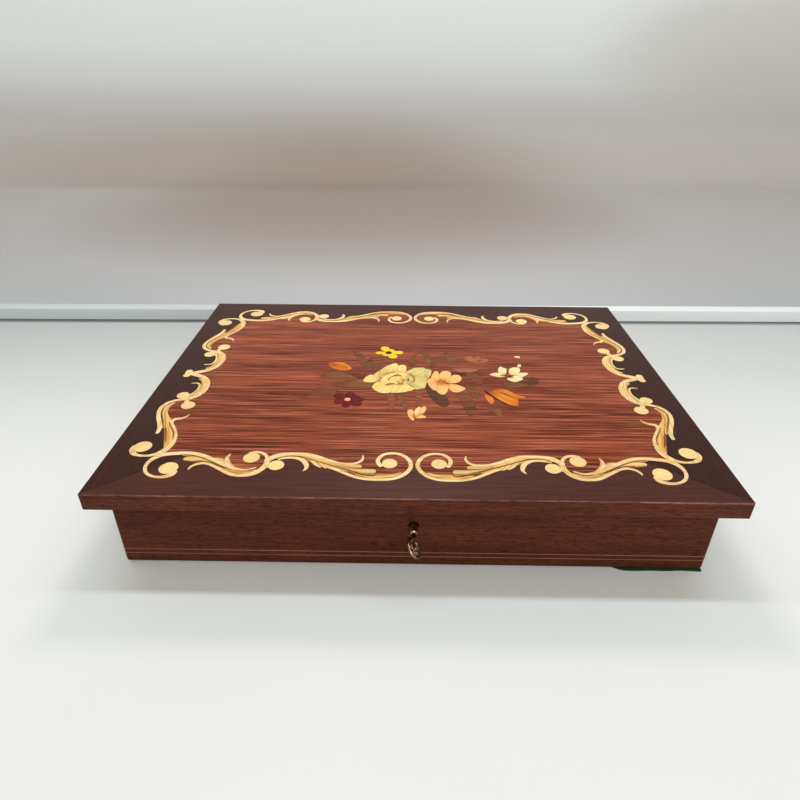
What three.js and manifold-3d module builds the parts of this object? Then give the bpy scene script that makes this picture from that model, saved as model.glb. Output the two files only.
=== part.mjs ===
// A wooden box with an inlaid, hinged lid and a small mortised lock with its key.
// Millimetres. The origin is the centre of the underside, +Z is up and the keyhole faces -Y.
import * as THREE from 'three';
import { mergeVertices } from 'three/addons/utils/BufferGeometryUtils.js';
import Module from 'manifold-3d';

const wasm = await Module();
wasm.setup();

// ---- Driving dimensions ----
const HEIGHT = 69;
const LID = { length: 420, depth: 322, thickness: 12.5, overhang: 11, lipping: 3 };
const VENEER = { thickness: 0.8, counter: 0.6, gap: 0.3 };
const WALL = { thickness: 12, rebate: 6 };
const FLOOR = { felt: 1.5, feltInset: 1, panel: 4, lining: 1 };
const LINES = { heights: [8.9, 12.7], width: 0.6, depth: 1 };
const CLEARANCE = 0.3;
// How far a cutter runs past the face that it opens, and how far joined shapes run into each other.
const PAST = 1;
// Facets round a cylinder.
const ROUND = { fine: 20, medium: 16, coarse: 12, disc: 10, screw: 8 };

const HINGE = {
  spread: 130,
  length: 40,
  leaf: 1,
  leafWidth: 9,
  axisOut: 3,
  knuckle: 2.4,
  bore: 1.4,
  pin: 1,
  pinProud: 0.5,
  centreLength: 14,
  screwSpread: 12,
};

const LOCK = {
  plateWidth: 60,
  plateHeight: 32,
  plate: 1.5,
  mortiseWidth: 44,
  mortiseDepth: 8,
  mortiseBottom: 28.2,
  cap: 1,
  keyHeight: 37.4,
  holeRadius: 3.5,
  slotWidth: 3,
  slotReach: 8.1,
  screwSpread: 26,
  screwHeight: 30,
};

const BOLT = {
  left: -20,
  right: 8,
  front: -144.3,
  back: -140.2,
  bottom: 44,
  barTop: 47,
  top: 51.1,
  hornBottom: 48.9,
  postWidth: 2.5,
};
const HORN = { length: 6, front: -143.3, back: -141.4 };
const TALON = { centre: -2.5, halfWidth: 4.6, top: 45.5 };
const STAPLE = { x: 10, thickness: 1.6, front: -144.6, back: -140.2, bottom: 47.6, wall: 0.8, eyeTop: 51.6 };
const SPRING = { halfLength: 7, thickness: 0.5, steps: 8 };
const DRILL_PIN = { headRadius: 2.2, headThickness: 0.7, play: 0.4, end: -148.5 };

const KEY = {
  tip: -140.3,
  barrelRadius: 2.4,
  boreRadius: 1.4,
  boreEnd: -150,
  barrelEnd: -155,
  collarRadius: 2.8,
  collarEnd: -158.4,
  shankRadius: 1.7,
  bowStart: -163,
  bowEnd: -178.5,
  bowHalfHeight: 6.8,
  bowThickness: 2,
  openingHalfLength: 4.6,
  openingHalfHeight: 1.8,
  openingOffset: 3.15,
  bowTilt: -THREE.MathUtils.degToRad(37),
  bitReach: 7.5,
  bitThickness: 1.8,
  bitFront: -144.2,
  bitBack: -140.6,
};

const SCREW = {
  headRadius: 2.1,
  headHeight: 0.9,
  shankRadius: 1.1,
  tipRadius: 0.3,
  length: 8,
  slot: 0.5,
  slotDepth: 0.4,
};

// ---- Worked-out levels and half sizes ----
const lidHalf = { x: LID.length / 2, y: LID.depth / 2 };
const caseHalf = { x: lidHalf.x - LID.overhang, y: lidHalf.y - LID.overhang };
const insideHalf = { x: caseHalf.x - WALL.thickness, y: caseHalf.y - WALL.thickness };
const lidBottom = HEIGHT - LID.thickness;
const rim = lidBottom - CLEARANCE;
const veneerBottom = HEIGHT - VENEER.thickness;
const boardBottom = lidBottom + VENEER.counter;
const panelTop = FLOOR.felt + FLOOR.panel;
const wallFace = -insideHalf.y;
const hingeY = caseHalf.y + HINGE.axisOut;
const hingeZ = lidBottom - CLEARANCE / 2;

// ---- Materials ----
const material = (color, roughness, metalness = 0) =>
  new THREE.MeshStandardMaterial({ color, roughness, metalness });
const woods = {
  wall: material(0x50291d, 0.4),
  lipping: material(0x5a3026, 0.4),
  board: material(0x9c7450, 0.7),
  border: material(0x4b302d, 0.3),
  field: material(0x96503a, 0.3),
  scroll: material(0xecd096, 0.35),
  line: material(0xc89a68, 0.4),
  cream: material(0xefe6b4, 0.35),
  yellow: material(0xe8c020, 0.35),
  orange: material(0xd06a18, 0.35),
  crimson: material(0x4a1020, 0.35),
  peach: material(0xf0b080, 0.35),
  white: material(0xf2eee0, 0.35),
};
const brass = material(0xb8923f, 0.35, 1);
const steel = material(0x8d8f92, 0.4, 1);
const felt = material(0x123c20, 0.95);

// ---- Solids: joining and cutting ----
function toSolid(geometry) {
  const bare = geometry.clone();
  bare.deleteAttribute('normal');
  bare.deleteAttribute('uv');
  const merged = mergeVertices(bare, 1e-4);
  const vertProperties = new Float32Array(merged.attributes.position.array);
  const triVerts = new Uint32Array(merged.index.array);
  return new wasm.Manifold(new wasm.Mesh({ numProp: 3, vertProperties, triVerts }));
}

function toGeometry(solid) {
  const mesh = solid.getMesh();
  const geometry = new THREE.BufferGeometry();
  geometry.setAttribute('position', new THREE.BufferAttribute(new Float32Array(mesh.vertProperties), 3));
  geometry.setIndex(new THREE.BufferAttribute(new Uint32Array(mesh.triVerts), 1));
  geometry.computeVertexNormals();
  return geometry;
}

function join(...geometries) {
  return toGeometry(geometries.map(toSolid).reduce((whole, piece) => whole.add(piece)));
}

function cut(geometry, ...cutters) {
  return toGeometry(cutters.map(toSolid).reduce((whole, piece) => whole.subtract(piece), toSolid(geometry)));
}

// ---- Basic shapes, all in the box's own frame ----
function block([x0, x1], [y0, y1], [z0, z1]) {
  const geometry = new THREE.BoxGeometry(x1 - x0, y1 - y0, z1 - z0);
  return geometry.translate((x0 + x1) / 2, (y0 + y1) / 2, (z0 + z1) / 2);
}

function slab(outline, z0, z1) {
  const geometry = new THREE.ExtrudeGeometry(outline, { depth: z1 - z0, bevelEnabled: false });
  return geometry.translate(0, 0, z0);
}

const polygon = (points) => new THREE.Shape(points.map(([x, y]) => new THREE.Vector2(x, y)));

function rodAlongX(radius, x0, x1, y, z, segments = ROUND.coarse) {
  const geometry = new THREE.CylinderGeometry(radius, radius, x1 - x0, segments);
  return geometry.rotateZ(Math.PI / 2).translate((x0 + x1) / 2, y, z);
}

function rodAlongY(radius, y0, y1, x, z, segments = ROUND.fine) {
  return new THREE.CylinderGeometry(radius, radius, y1 - y0, segments).translate(x, (y0 + y1) / 2, z);
}

function rodAlongZ(radius, z0, z1, x, y, segments = ROUND.coarse) {
  const geometry = new THREE.CylinderGeometry(radius, radius, z1 - z0, segments);
  return geometry.rotateX(Math.PI / 2).translate(x, y, (z0 + z1) / 2);
}

// Four mitred bars round a rectangle. The gap is left open across each mitre.
function mitredPlans(half, thickness, gap) {
  const inner = { x: half.x - thickness, y: half.y - thickness };
  const back = gap / Math.SQRT2;
  const alongX = (side) => [
    [-half.x + back, side * half.y],
    [half.x - back, side * half.y],
    [inner.x - back, side * inner.y],
    [-inner.x + back, side * inner.y],
  ];
  const alongY = (side) => [
    [side * half.x, -half.y + back],
    [side * half.x, half.y - back],
    [side * inner.x, inner.y - back],
    [side * inner.x, -inner.y + back],
  ];
  return {
    front: polygon(alongX(-1)),
    back: polygon(alongX(1)),
    left: polygon(alongY(-1)),
    right: polygon(alongY(1)),
  };
}

const group = new THREE.Group();

function addPart(name, geometry, look) {
  const mesh = new THREE.Mesh(geometry, look);
  mesh.name = name;
  group.add(mesh);
  return mesh;
}

// ---- Screws: a slotted round head, its top face at the local origin, pointing down ----
function screwGeometry() {
  const profile = [
    [0, -SCREW.length],
    [SCREW.tipRadius, -SCREW.length],
    [SCREW.shankRadius, -SCREW.length + SCREW.shankRadius],
    [SCREW.shankRadius, -SCREW.headHeight],
    [SCREW.headRadius, -SCREW.headHeight],
    [SCREW.headRadius, 0],
    [0, 0],
  ].map(([radius, height]) => new THREE.Vector2(radius, height));
  const turned = new THREE.LatheGeometry(profile, ROUND.screw).rotateX(Math.PI / 2);
  const reach = SCREW.headRadius + PAST;
  return cut(turned, block([-reach, reach], [-SCREW.slot / 2, SCREW.slot / 2], [-SCREW.slotDepth, PAST]));
}

function addScrew(name, position, turn, look) {
  const mesh = addPart(name, screwGeometry(), look);
  mesh.position.set(...position);
  mesh.rotation.set(turn, 0, 0);
}

const pilotRadius = SCREW.shankRadius + CLEARANCE;
const headHole = SCREW.headRadius + CLEARANCE;
const pilotDepth = SCREW.length + CLEARANCE;

// ---- Hinges ----
const hingeCentres = { left: -HINGE.spread, right: HINGE.spread };
const leafFront = caseHalf.y - HINGE.leafWidth;
const screwY = leafFront + HINGE.leafWidth / 2;

function hingeScrewXs(centre) {
  return [centre - HINGE.screwSpread, centre + HINGE.screwSpread];
}

// One leaf lies flat from leafFront to the knuckle line, with its knuckles on the given stretches.
function hingeLeaf(centre, z0, z1, stretches, notches) {
  const half = HINGE.length / 2;
  const plate = block([centre - half, centre + half], [leafFront, caseHalf.y], [z0, z1]);
  const arms = stretches.map(([from, to]) => block([from, to], [caseHalf.y - PAST, hingeY], [z0, z1]));
  const knuckles = stretches.map(([from, to]) => rodAlongX(HINGE.knuckle, from, to, hingeY, hingeZ));
  const bores = stretches.map(([from, to]) =>
    rodAlongX(HINGE.bore, from - PAST, to + PAST, hingeY, hingeZ),
  );
  const holes = hingeScrewXs(centre).map((x) => rodAlongZ(headHole, z0 - PAST, z1 + PAST, x, screwY));
  return cut(join(plate, ...arms, ...knuckles), ...bores, ...holes, ...notches);
}

function addHinge(side) {
  const centre = hingeCentres[side];
  const half = HINGE.length / 2;
  const middle = HINGE.centreLength / 2;
  const outerStretches = [
    [centre - half, centre - middle - CLEARANCE],
    [centre + middle + CLEARANCE, centre + half],
  ];
  const swing = HINGE.knuckle + CLEARANCE;
  const lidNotches = outerStretches.map(([from, to]) =>
    block([from - PAST, to + PAST], [hingeY - swing, hingeY + swing], [hingeZ - swing, hingeZ + swing]),
  );
  addPart(`hinge_case_leaf_${side}`, hingeLeaf(centre, rim - HINGE.leaf, rim, outerStretches, []), brass);
  addPart(
    `hinge_lid_leaf_${side}`,
    hingeLeaf(centre, lidBottom, lidBottom + HINGE.leaf, [[centre - middle, centre + middle]], lidNotches),
    brass,
  );
  const pinHalf = half + HINGE.pinProud;
  const pin = rodAlongX(HINGE.pin, centre - pinHalf, centre + pinHalf, hingeY, hingeZ);
  addPart(`hinge_pin_${side}`, pin, steel);
  hingeScrewXs(centre).forEach((x, index) => {
    const place = index === 0 ? 'outer' : 'inner';
    addScrew(`case_screw_${side}_${place}`, [x, screwY, rim], 0, brass);
    addScrew(`lid_screw_${side}_${place}`, [x, screwY, lidBottom], Math.PI, brass);
  });
}

// Gains let the leaves into the rim and the lid; the lid is also relieved over the knuckles.
function hingeCutters(z0, z1, pilotTo) {
  return Object.values(hingeCentres).flatMap((centre) => {
    const half = HINGE.length / 2;
    const gain = block([centre - half, centre + half], [leafFront, caseHalf.y + PAST], [z0, z1]);
    const pilots = hingeScrewXs(centre).map((x) =>
      rodAlongZ(pilotRadius, Math.min(z0, pilotTo), Math.max(z0, pilotTo), x, screwY),
    );
    return [gain, ...pilots];
  });
}

function knuckleReliefs() {
  const swing = HINGE.knuckle + 2 * CLEARANCE;
  const half = HINGE.length / 2 + PAST;
  return Object.values(hingeCentres).map((centre) =>
    block([centre - half, centre + half], [caseHalf.y, hingeY + swing], [lidBottom - PAST, hingeZ + swing]),
  );
}

// ---- Keyhole: a round hole with a slot below it for the bit ----
function keyholeCutter(y0, y1) {
  const round = rodAlongY(LOCK.holeRadius, y0, y1, 0, LOCK.keyHeight);
  const half = LOCK.slotWidth / 2;
  const slot = block([-half, half], [y0, y1], [LOCK.keyHeight - LOCK.slotReach, LOCK.keyHeight]);
  return join(round, slot);
}

// ---- Case ----
function lineGrooves() {
  const inner = { x: caseHalf.x - LINES.depth, y: caseHalf.y - LINES.depth };
  return LINES.heights.map((z) => {
    const z1 = z + LINES.width;
    const outer = { x: caseHalf.x + PAST, y: caseHalf.y + PAST };
    const around = block([-outer.x, outer.x], [-outer.y, outer.y], [z, z1]);
    return cut(around, block([-inner.x, inner.x], [-inner.y, inner.y], [z - PAST, z1 + PAST]));
  });
}

function bottomRebate() {
  const x = insideHalf.x + WALL.rebate;
  const y = insideHalf.y + WALL.rebate;
  return block([-x, x], [-y, y], [FLOOR.felt - PAST, panelTop]);
}

function lockMortise() {
  const plateHalf = LOCK.plateWidth / 2 + CLEARANCE;
  const plateBottom = rim - LOCK.plateHeight - CLEARANCE;
  const mortiseHalf = LOCK.mortiseWidth / 2;
  const front = wallFace - LOCK.mortiseDepth;
  const screws = [-LOCK.screwSpread, LOCK.screwSpread].map((x) =>
    rodAlongY(pilotRadius, wallFace - pilotDepth, wallFace, x, LOCK.screwHeight, ROUND.coarse),
  );
  return [
    block([-plateHalf, plateHalf], [wallFace - LOCK.plate, wallFace + PAST], [plateBottom, rim + PAST]),
    block([-plateHalf, plateHalf], [front, wallFace + PAST], [rim - LOCK.plate, rim + PAST]),
    block([-mortiseHalf, mortiseHalf], [front, wallFace], [LOCK.mortiseBottom, rim]),
    keyholeCutter(-caseHalf.y - PAST, wallFace),
    ...screws,
  ];
}

function addCase() {
  const plans = mitredPlans(caseHalf, WALL.thickness, CLEARANCE);
  const pilotTo = rim - pilotDepth;
  const extraCuts = {
    front: lockMortise(),
    back: hingeCutters(rim - HINGE.leaf, rim + PAST, pilotTo),
    left: [],
    right: [],
  };
  for (const side of Object.keys(plans)) {
    const bar = slab(plans[side], FLOOR.felt, rim);
    addPart(`${side}_wall`, cut(bar, bottomRebate(), ...lineGrooves(), ...extraCuts[side]), woods.wall);
  }
  const panelX = insideHalf.x + WALL.rebate - CLEARANCE;
  const panelY = insideHalf.y + WALL.rebate - CLEARANCE;
  addPart('bottom_panel', block([-panelX, panelX], [-panelY, panelY], [FLOOR.felt, panelTop]), woods.board);
  const feltX = caseHalf.x - FLOOR.feltInset;
  const feltY = caseHalf.y - FLOOR.feltInset;
  addPart('base_felt', block([-feltX, feltX], [-feltY, feltY], [0, FLOOR.felt]), felt);
  const liningX = insideHalf.x - CLEARANCE;
  const liningY = insideHalf.y - CLEARANCE;
  const liningTop = panelTop + FLOOR.lining;
  addPart('floor_lining', block([-liningX, liningX], [-liningY, liningY], [panelTop, liningTop]), felt);
}

function addLines() {
  const plans = mitredPlans(caseHalf, LINES.depth, CLEARANCE);
  const names = ['lower', 'upper'];
  LINES.heights.forEach((z, index) => {
    for (const side of Object.keys(plans)) {
      addPart(`${names[index]}_line_${side}`, slab(plans[side], z, z + LINES.width), woods.line);
    }
  });
}

// ---- Lock ----
function addLock() {
  const half = LOCK.plateWidth / 2;
  const front = wallFace - LOCK.mortiseDepth;
  const plateFront = wallFace - LOCK.plate;
  const upright = block([-half, half], [plateFront, wallFace], [rim - LOCK.plateHeight, rim]);
  const selvedge = block([-half, half], [front, wallFace], [rim - LOCK.plate, rim]);
  const slotHalf = STAPLE.thickness / 2 + 2 * CLEARANCE;
  const slotFront = STAPLE.front - 2 * CLEARANCE;
  const slots = [-STAPLE.x, STAPLE.x].map((x) =>
    block([x - slotHalf, x + slotHalf], [slotFront, plateFront], [rim - LOCK.plate - PAST, rim + PAST]),
  );
  const screwXs = [-LOCK.screwSpread, LOCK.screwSpread];
  const holes = screwXs.map((x) =>
    rodAlongY(headHole, plateFront - PAST, wallFace + PAST, x, LOCK.screwHeight, ROUND.coarse),
  );
  const pinHole = rodAlongY(KEY.boreRadius, plateFront - PAST, wallFace + PAST, 0, LOCK.keyHeight);
  addPart('lock_plate', cut(join(upright, selvedge), ...slots, ...holes, pinHole), brass);

  const capHalf = LOCK.mortiseWidth / 2 - CLEARANCE;
  const capBottom = LOCK.mortiseBottom + CLEARANCE;
  const capTop = rim - LOCK.plate - CLEARANCE;
  const face = block([-capHalf, capHalf], [front, front + LOCK.cap], [capBottom, capTop]);
  const legs = [-1, 1].map((side) => {
    const edges = [side * capHalf, side * (capHalf - LOCK.cap)].sort((a, b) => a - b);
    return block(edges, [front, plateFront], [capBottom, capTop]);
  });
  addPart('lock_cap', cut(join(face, ...legs), keyholeCutter(front - PAST, front + LOCK.cap + PAST)), brass);
  screwXs.forEach((x, index) => {
    const side = index === 0 ? 'left' : 'right';
    addScrew(`lock_screw_${side}`, [x, wallFace, LOCK.screwHeight], -Math.PI / 2, brass);
  });
  addPart('lock_spring', springLeaf(capTop), steel);
  addPart('lock_bolt', boltGeometry(), steel);
}

// A bowed leaf spring that rests over the middle post of the bolt.
function springLeaf(top) {
  const low = BOLT.top + CLEARANCE;
  const rise = top - SPRING.thickness - low;
  const along = Array.from({ length: SPRING.steps + 1 }, (_, step) => step / SPRING.steps * 2 - 1);
  const lower = along.map((t) => [t * SPRING.halfLength, low + rise * t * t]);
  const upper = lower.map(([x, z]) => [x, z + SPRING.thickness]).reverse();
  const width = HORN.back - HORN.front;
  const settings = { depth: width, bevelEnabled: false };
  const leaf = new THREE.ExtrudeGeometry(polygon([...lower, ...upper]), settings);
  return leaf.rotateX(Math.PI / 2).translate(0, HORN.back, 0);
}

// The bolt slides along +X: a bar with a notch for the bit, and two horns for the staples.
function boltGeometry() {
  const bar = block([BOLT.left, BOLT.right], [BOLT.front, BOLT.back], [BOLT.bottom, BOLT.barTop]);
  const hornTips = [-1, 1].map((side) => side * STAPLE.x - STAPLE.thickness / 2 - 2 * CLEARANCE);
  const hooks = hornTips.flatMap((tip) => {
    const post = tip - HORN.length;
    return [
      block([post - BOLT.postWidth, post], [HORN.front, HORN.back], [BOLT.barTop - PAST, BOLT.top]),
      block([post - PAST, tip], [HORN.front, HORN.back], [BOLT.hornBottom, BOLT.top]),
    ];
  });
  const notch = block(
    [TALON.centre - TALON.halfWidth, TALON.centre + TALON.halfWidth],
    [BOLT.front - PAST, BOLT.back + PAST],
    [BOLT.bottom - PAST, TALON.top],
  );
  return cut(join(bar, ...hooks), notch);
}

// ---- Key and the drill pin that it fits over ----
function addDrillPin() {
  const z = LOCK.keyHeight;
  const headFront = wallFace + CLEARANCE;
  const headBack = headFront + DRILL_PIN.headThickness;
  const shank = rodAlongY(KEY.boreRadius - DRILL_PIN.play, DRILL_PIN.end, headBack, 0, z, ROUND.coarse);
  const rivet = rodAlongY(DRILL_PIN.headRadius, headFront, headBack, 0, z, ROUND.medium);
  addPart('drill_pin', join(shank, rivet), steel);
}

function keyBow() {
  const length = KEY.bowStart - KEY.bowEnd;
  const centre = (KEY.bowStart + KEY.bowEnd) / 2;
  const outline = new THREE.Shape();
  outline.absellipse(centre, 0, length / 2, KEY.bowHalfHeight, 0, Math.PI * 2);
  for (const side of [-1, 1]) {
    const opening = new THREE.Path();
    const middle = side * KEY.openingOffset;
    opening.absellipse(centre, middle, KEY.openingHalfLength, KEY.openingHalfHeight, 0, Math.PI * 2);
    outline.holes.push(opening);
  }
  const settings = { depth: KEY.bowThickness, bevelEnabled: false, curveSegments: ROUND.coarse };
  const plate = new THREE.ExtrudeGeometry(outline, settings).translate(0, 0, -KEY.bowThickness / 2);
  // The outline is drawn with the shank direction first, so turn it into the plane of Y and Z.
  plate.applyMatrix4(new THREE.Matrix4().makeBasis(
    new THREE.Vector3(0, 1, 0),
    new THREE.Vector3(0, 0, 1),
    new THREE.Vector3(1, 0, 0),
  ));
  return plate.rotateY(KEY.bowTilt).translate(0, 0, LOCK.keyHeight);
}

function addKey() {
  const z = LOCK.keyHeight;
  const barrel = rodAlongY(KEY.barrelRadius, KEY.barrelEnd - PAST, KEY.tip, 0, z, ROUND.medium);
  const collar = rodAlongY(KEY.collarRadius, KEY.collarEnd, KEY.barrelEnd, 0, z, ROUND.medium);
  const shank = rodAlongY(KEY.shankRadius, KEY.bowStart - PAST, KEY.collarEnd + PAST, 0, z, ROUND.coarse);
  const half = KEY.bitThickness / 2;
  const insideBarrel = (KEY.boreRadius + KEY.barrelRadius) / 2;
  const bit = block([-half, half], [KEY.bitFront, KEY.bitBack], [z - KEY.bitReach, z - insideBarrel]);
  const bore = rodAlongY(KEY.boreRadius, KEY.boreEnd, KEY.tip + PAST, 0, z, ROUND.coarse);
  addPart('key', cut(join(barrel, collar, shank, bit, keyBow()), bore), brass);
}

// ---- Lid marquetry ----
// Scroll points are [from the lid's left edge, from its front edge, half width] in one quarter
// of the lid. The other three quarters are its mirror images.
const longScroll = [
  [
    [50, 20, 1.8], [42, 19.2, 1.8], [34, 24, 1.9], [31.4, 31, 2], [34, 38.5, 2.2], [43, 43.5, 2.8],
    [53, 44.5, 3.6], [63, 41, 3.6], [73, 36, 3.6], [83, 31, 4], [91, 26, 4], [98, 25, 3.6], [104, 29, 3.4],
  ],
  [
    [116, 41, 2.4], [124, 43.8, 3.3], [133, 43.5, 4], [142, 40.5, 5], [151, 35.5, 5], [160, 32, 4.6],
    [168, 27.5, 5.4], [177, 23, 4.6], [187, 21.4, 3.2], [197, 23.5, 2.6], [204, 29, 2.2], [210, 37, 2.2],
  ],
];
const longDiscs = [[46.3, 28.2, 9], [99.5, 37.5, 11.5], [118, 34, 8.4], [194, 36.5, 12]];
const shortScroll = [
  [
    [13, 48, 1.8], [17, 43.2, 1.8], [25, 42, 1.8], [32, 46, 2], [36.5, 53, 2.4], [37.2, 60, 3.6],
    [35, 69, 4.8], [31, 78, 4.2], [27, 86, 3.8], [21, 93, 3], [17, 101, 2.4], [19, 111, 2.4], [27, 117, 2.6],
    [34, 122, 2.6], [37.6, 130, 3.2], [37.6, 140, 3.8], [34, 150, 3.2], [28, 156.5, 2.4], [17.5, 161, 3],
  ],
];
const shortDiscs = [[21, 51.2, 8.8], [31, 109, 8.4], [25.5, 124, 6.8], [17, 157.5, 3.4]];

const OUTLINE = { stepsPerPetal: 4, stepsPerOval: 4, shortest: 1 };

const strokePoint = ([x, y, halfWidth]) => ({ x: x - lidHalf.x, y: y - lidHalf.y, halfWidth });

// The outline of a band that follows the points, with its own half width at each.
function bandOutline(points, grow) {
  const placed = points.map(strokePoint);
  const sides = placed.map((point, index) => {
    const before = placed[Math.max(index - 1, 0)];
    const after = placed[Math.min(index + 1, placed.length - 1)];
    const length = Math.hypot(after.x - before.x, after.y - before.y);
    const across = [-(after.y - before.y) / length, (after.x - before.x) / length];
    const reach = point.halfWidth + grow;
    return [1, -1].map((side) => [point.x + side * reach * across[0], point.y + side * reach * across[1]]);
  });
  return polygon([...sides.map((pair) => pair[0]), ...sides.map((pair) => pair[1]).reverse()]);
}

function disc([x, y, radius], grow, z0, z1) {
  return rodAlongZ(radius + grow, z0, z1, x - lidHalf.x, y - lidHalf.y, ROUND.disc);
}

// A mirror image. Reversing the whole index turns every triangle to face out again.
function mirrored(geometry, x, y) {
  const copy = geometry.clone().scale(x, y, 1);
  if (x * y < 0) {
    copy.index.array.reverse();
  }
  return copy;
}

function scrollHalf(bands, discs, grow, z0, z1) {
  return join(
    ...bands.map((points) => slab(bandOutline(points, grow), z0, z1)),
    ...discs.map((each) => disc(each, grow, z0, z1)),
  );
}

function scrolls(grow, z0, z1) {
  const longHalf = scrollHalf(longScroll, longDiscs, grow, z0, z1);
  const shortHalf = scrollHalf(shortScroll, shortDiscs, grow, z0, z1);
  return {
    scroll_front: join(longHalf, mirrored(longHalf, -1, 1)),
    scroll_back: join(mirrored(longHalf, 1, -1), mirrored(longHalf, -1, -1)),
    scroll_left: join(shortHalf, mirrored(shortHalf, 1, -1)),
    scroll_right: join(mirrored(shortHalf, -1, 1), mirrored(shortHalf, -1, -1)),
  };
}

// The line between border and field runs along the middle of the scrolls.
function fieldOutline(grow) {
  const quarter = [...shortScroll[0].slice(4).reverse(), ...longScroll[0].slice(4), ...longScroll[1]];
  const points = quarter.map(strokePoint).map(({ x, y }) => [x - grow, y - grow]);
  const half = [...points, ...points.map(([x, y]) => [-x, y]).reverse()];
  const whole = [...half, ...half.map(([x, y]) => [x, -y]).reverse()];
  const apart = whole.filter(([x, y], index) => {
    const [nextX, nextY] = whole[(index + 1) % whole.length];
    return Math.hypot(nextX - x, nextY - y) > OUTLINE.shortest;
  });
  return polygon(apart);
}

// Petals as a wavy ring round a centre given from the middle of the lid.
function petalOutline({ x, y, petals, inner, outer, turn = 0 }, grow) {
  const steps = petals * OUTLINE.stepsPerPetal;
  const points = Array.from({ length: steps }, (_, step) => {
    const angle = step / steps * Math.PI * 2;
    const swell = 0.5 - 0.5 * Math.cos(angle * petals);
    const radius = inner + (outer - inner) * swell + grow;
    return [x + radius * Math.cos(angle + turn), y + radius * Math.sin(angle + turn)];
  });
  return polygon(points);
}

function ovalOutline({ x, y, halfLength, halfWidth, turn }, grow) {
  const outline = new THREE.Shape();
  outline.absellipse(x, y, halfLength + grow, halfWidth + grow, 0, Math.PI * 2, false, turn);
  return new THREE.Shape(outline.getPoints(OUTLINE.stepsPerOval));
}

const flowers = {
  rose: { x: -15, y: -4, petals: 6, inner: 20, outer: 25, turn: 0.3, look: woods.cream },
  yellow_flower: { x: -22, y: 45, petals: 5, inner: 6, outer: 13, look: woods.yellow },
  crimson_flower: { x: -52.5, y: -40.5, petals: 8, inner: 8.5, outer: 12.5, look: woods.crimson },
  peach_flower: { x: 26, y: -11, petals: 6, inner: 11, outer: 16.5, turn: 0.5, look: woods.peach },
  white_flower: { x: 81, y: 4, petals: 5, inner: 8, outer: 15, turn: 0.4, look: woods.white },
};
const ovals = {
  orange_bud: { x: -64, y: 16, halfLength: 11, halfWidth: 6.5, turn: -0.6, look: woods.orange },
  orange_lily: { x: 73, y: -34, halfLength: 16, halfWidth: 9.5, turn: -0.6, look: woods.orange },
  peach_bud: { x: 2, y: -60, halfLength: 9.5, halfWidth: 5.5, turn: 1, look: woods.peach },
};

function bouquet(grow, z0, z1) {
  const shapes = [
    ...Object.entries(flowers).map(([name, flower]) => [name, petalOutline(flower, grow)]),
    ...Object.entries(ovals).map(([name, oval]) => [name, ovalOutline(oval, grow)]),
  ];
  return Object.fromEntries(shapes.map(([name, outline]) => [name, slab(outline, z0, z1)]));
}

function addMarquetry() {
  const cutFrom = veneerBottom - PAST;
  const cutTo = HEIGHT + PAST;
  const scrollPockets = Object.values(scrolls(VENEER.gap, cutFrom, cutTo));
  const flowerPockets = Object.values(bouquet(VENEER.gap, cutFrom, cutTo));
  const sheet = block([-lidHalf.x, lidHalf.x], [-lidHalf.y, lidHalf.y], [veneerBottom, HEIGHT]);
  const border = cut(sheet, slab(fieldOutline(VENEER.gap), cutFrom, cutTo), ...scrollPockets);
  addPart('border_veneer', border, woods.border);
  const field = slab(fieldOutline(0), veneerBottom, HEIGHT);
  addPart('field_veneer', cut(field, ...scrollPockets, ...flowerPockets), woods.field);
  for (const [name, geometry] of Object.entries(scrolls(0, veneerBottom, HEIGHT))) {
    addPart(name, geometry, woods.scroll);
  }
  for (const [name, geometry] of Object.entries(bouquet(0, veneerBottom, HEIGHT))) {
    addPart(name, geometry, { ...flowers, ...ovals }[name].look);
  }
}

// ---- Lid ----
const strikeY = wallFace - LOCK.mortiseDepth / 2;

function strikeCutters() {
  const half = LOCK.plateWidth / 2 + CLEARANCE;
  const y0 = wallFace - LOCK.mortiseDepth - CLEARANCE;
  const pilots = [-LOCK.screwSpread, LOCK.screwSpread].map((x) =>
    rodAlongZ(pilotRadius, lidBottom, lidBottom + pilotDepth, x, strikeY),
  );
  const y1 = wallFace + CLEARANCE;
  return [block([-half, half], [y0, y1], [lidBottom - PAST, lidBottom + LOCK.plate]), ...pilots];
}

function addStrike() {
  const half = LOCK.plateWidth / 2;
  const plateTop = lidBottom + LOCK.plate;
  const plate = block([-half, half], [wallFace - LOCK.mortiseDepth, wallFace], [lidBottom, plateTop]);
  const staples = [-STAPLE.x, STAPLE.x].flatMap((x) => [
    block(
      [x - STAPLE.thickness / 2, x + STAPLE.thickness / 2],
      [STAPLE.front, STAPLE.back],
      [STAPLE.bottom, lidBottom + PAST],
    ),
  ]);
  const eyes = [-STAPLE.x, STAPLE.x].map((x) =>
    block(
      [x - STAPLE.thickness, x + STAPLE.thickness],
      [STAPLE.front + STAPLE.wall, STAPLE.back - STAPLE.wall],
      [STAPLE.bottom + STAPLE.wall, STAPLE.eyeTop],
    ),
  );
  const holes = [-LOCK.screwSpread, LOCK.screwSpread].map((x) =>
    rodAlongZ(headHole, lidBottom - PAST, plateTop + PAST, x, strikeY),
  );
  addPart('strike_plate', cut(join(plate, ...staples), ...eyes, ...holes), brass);
  addScrew('strike_screw_left', [-LOCK.screwSpread, strikeY, lidBottom], Math.PI, brass);
  addScrew('strike_screw_right', [LOCK.screwSpread, strikeY, lidBottom], Math.PI, brass);
}

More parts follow.
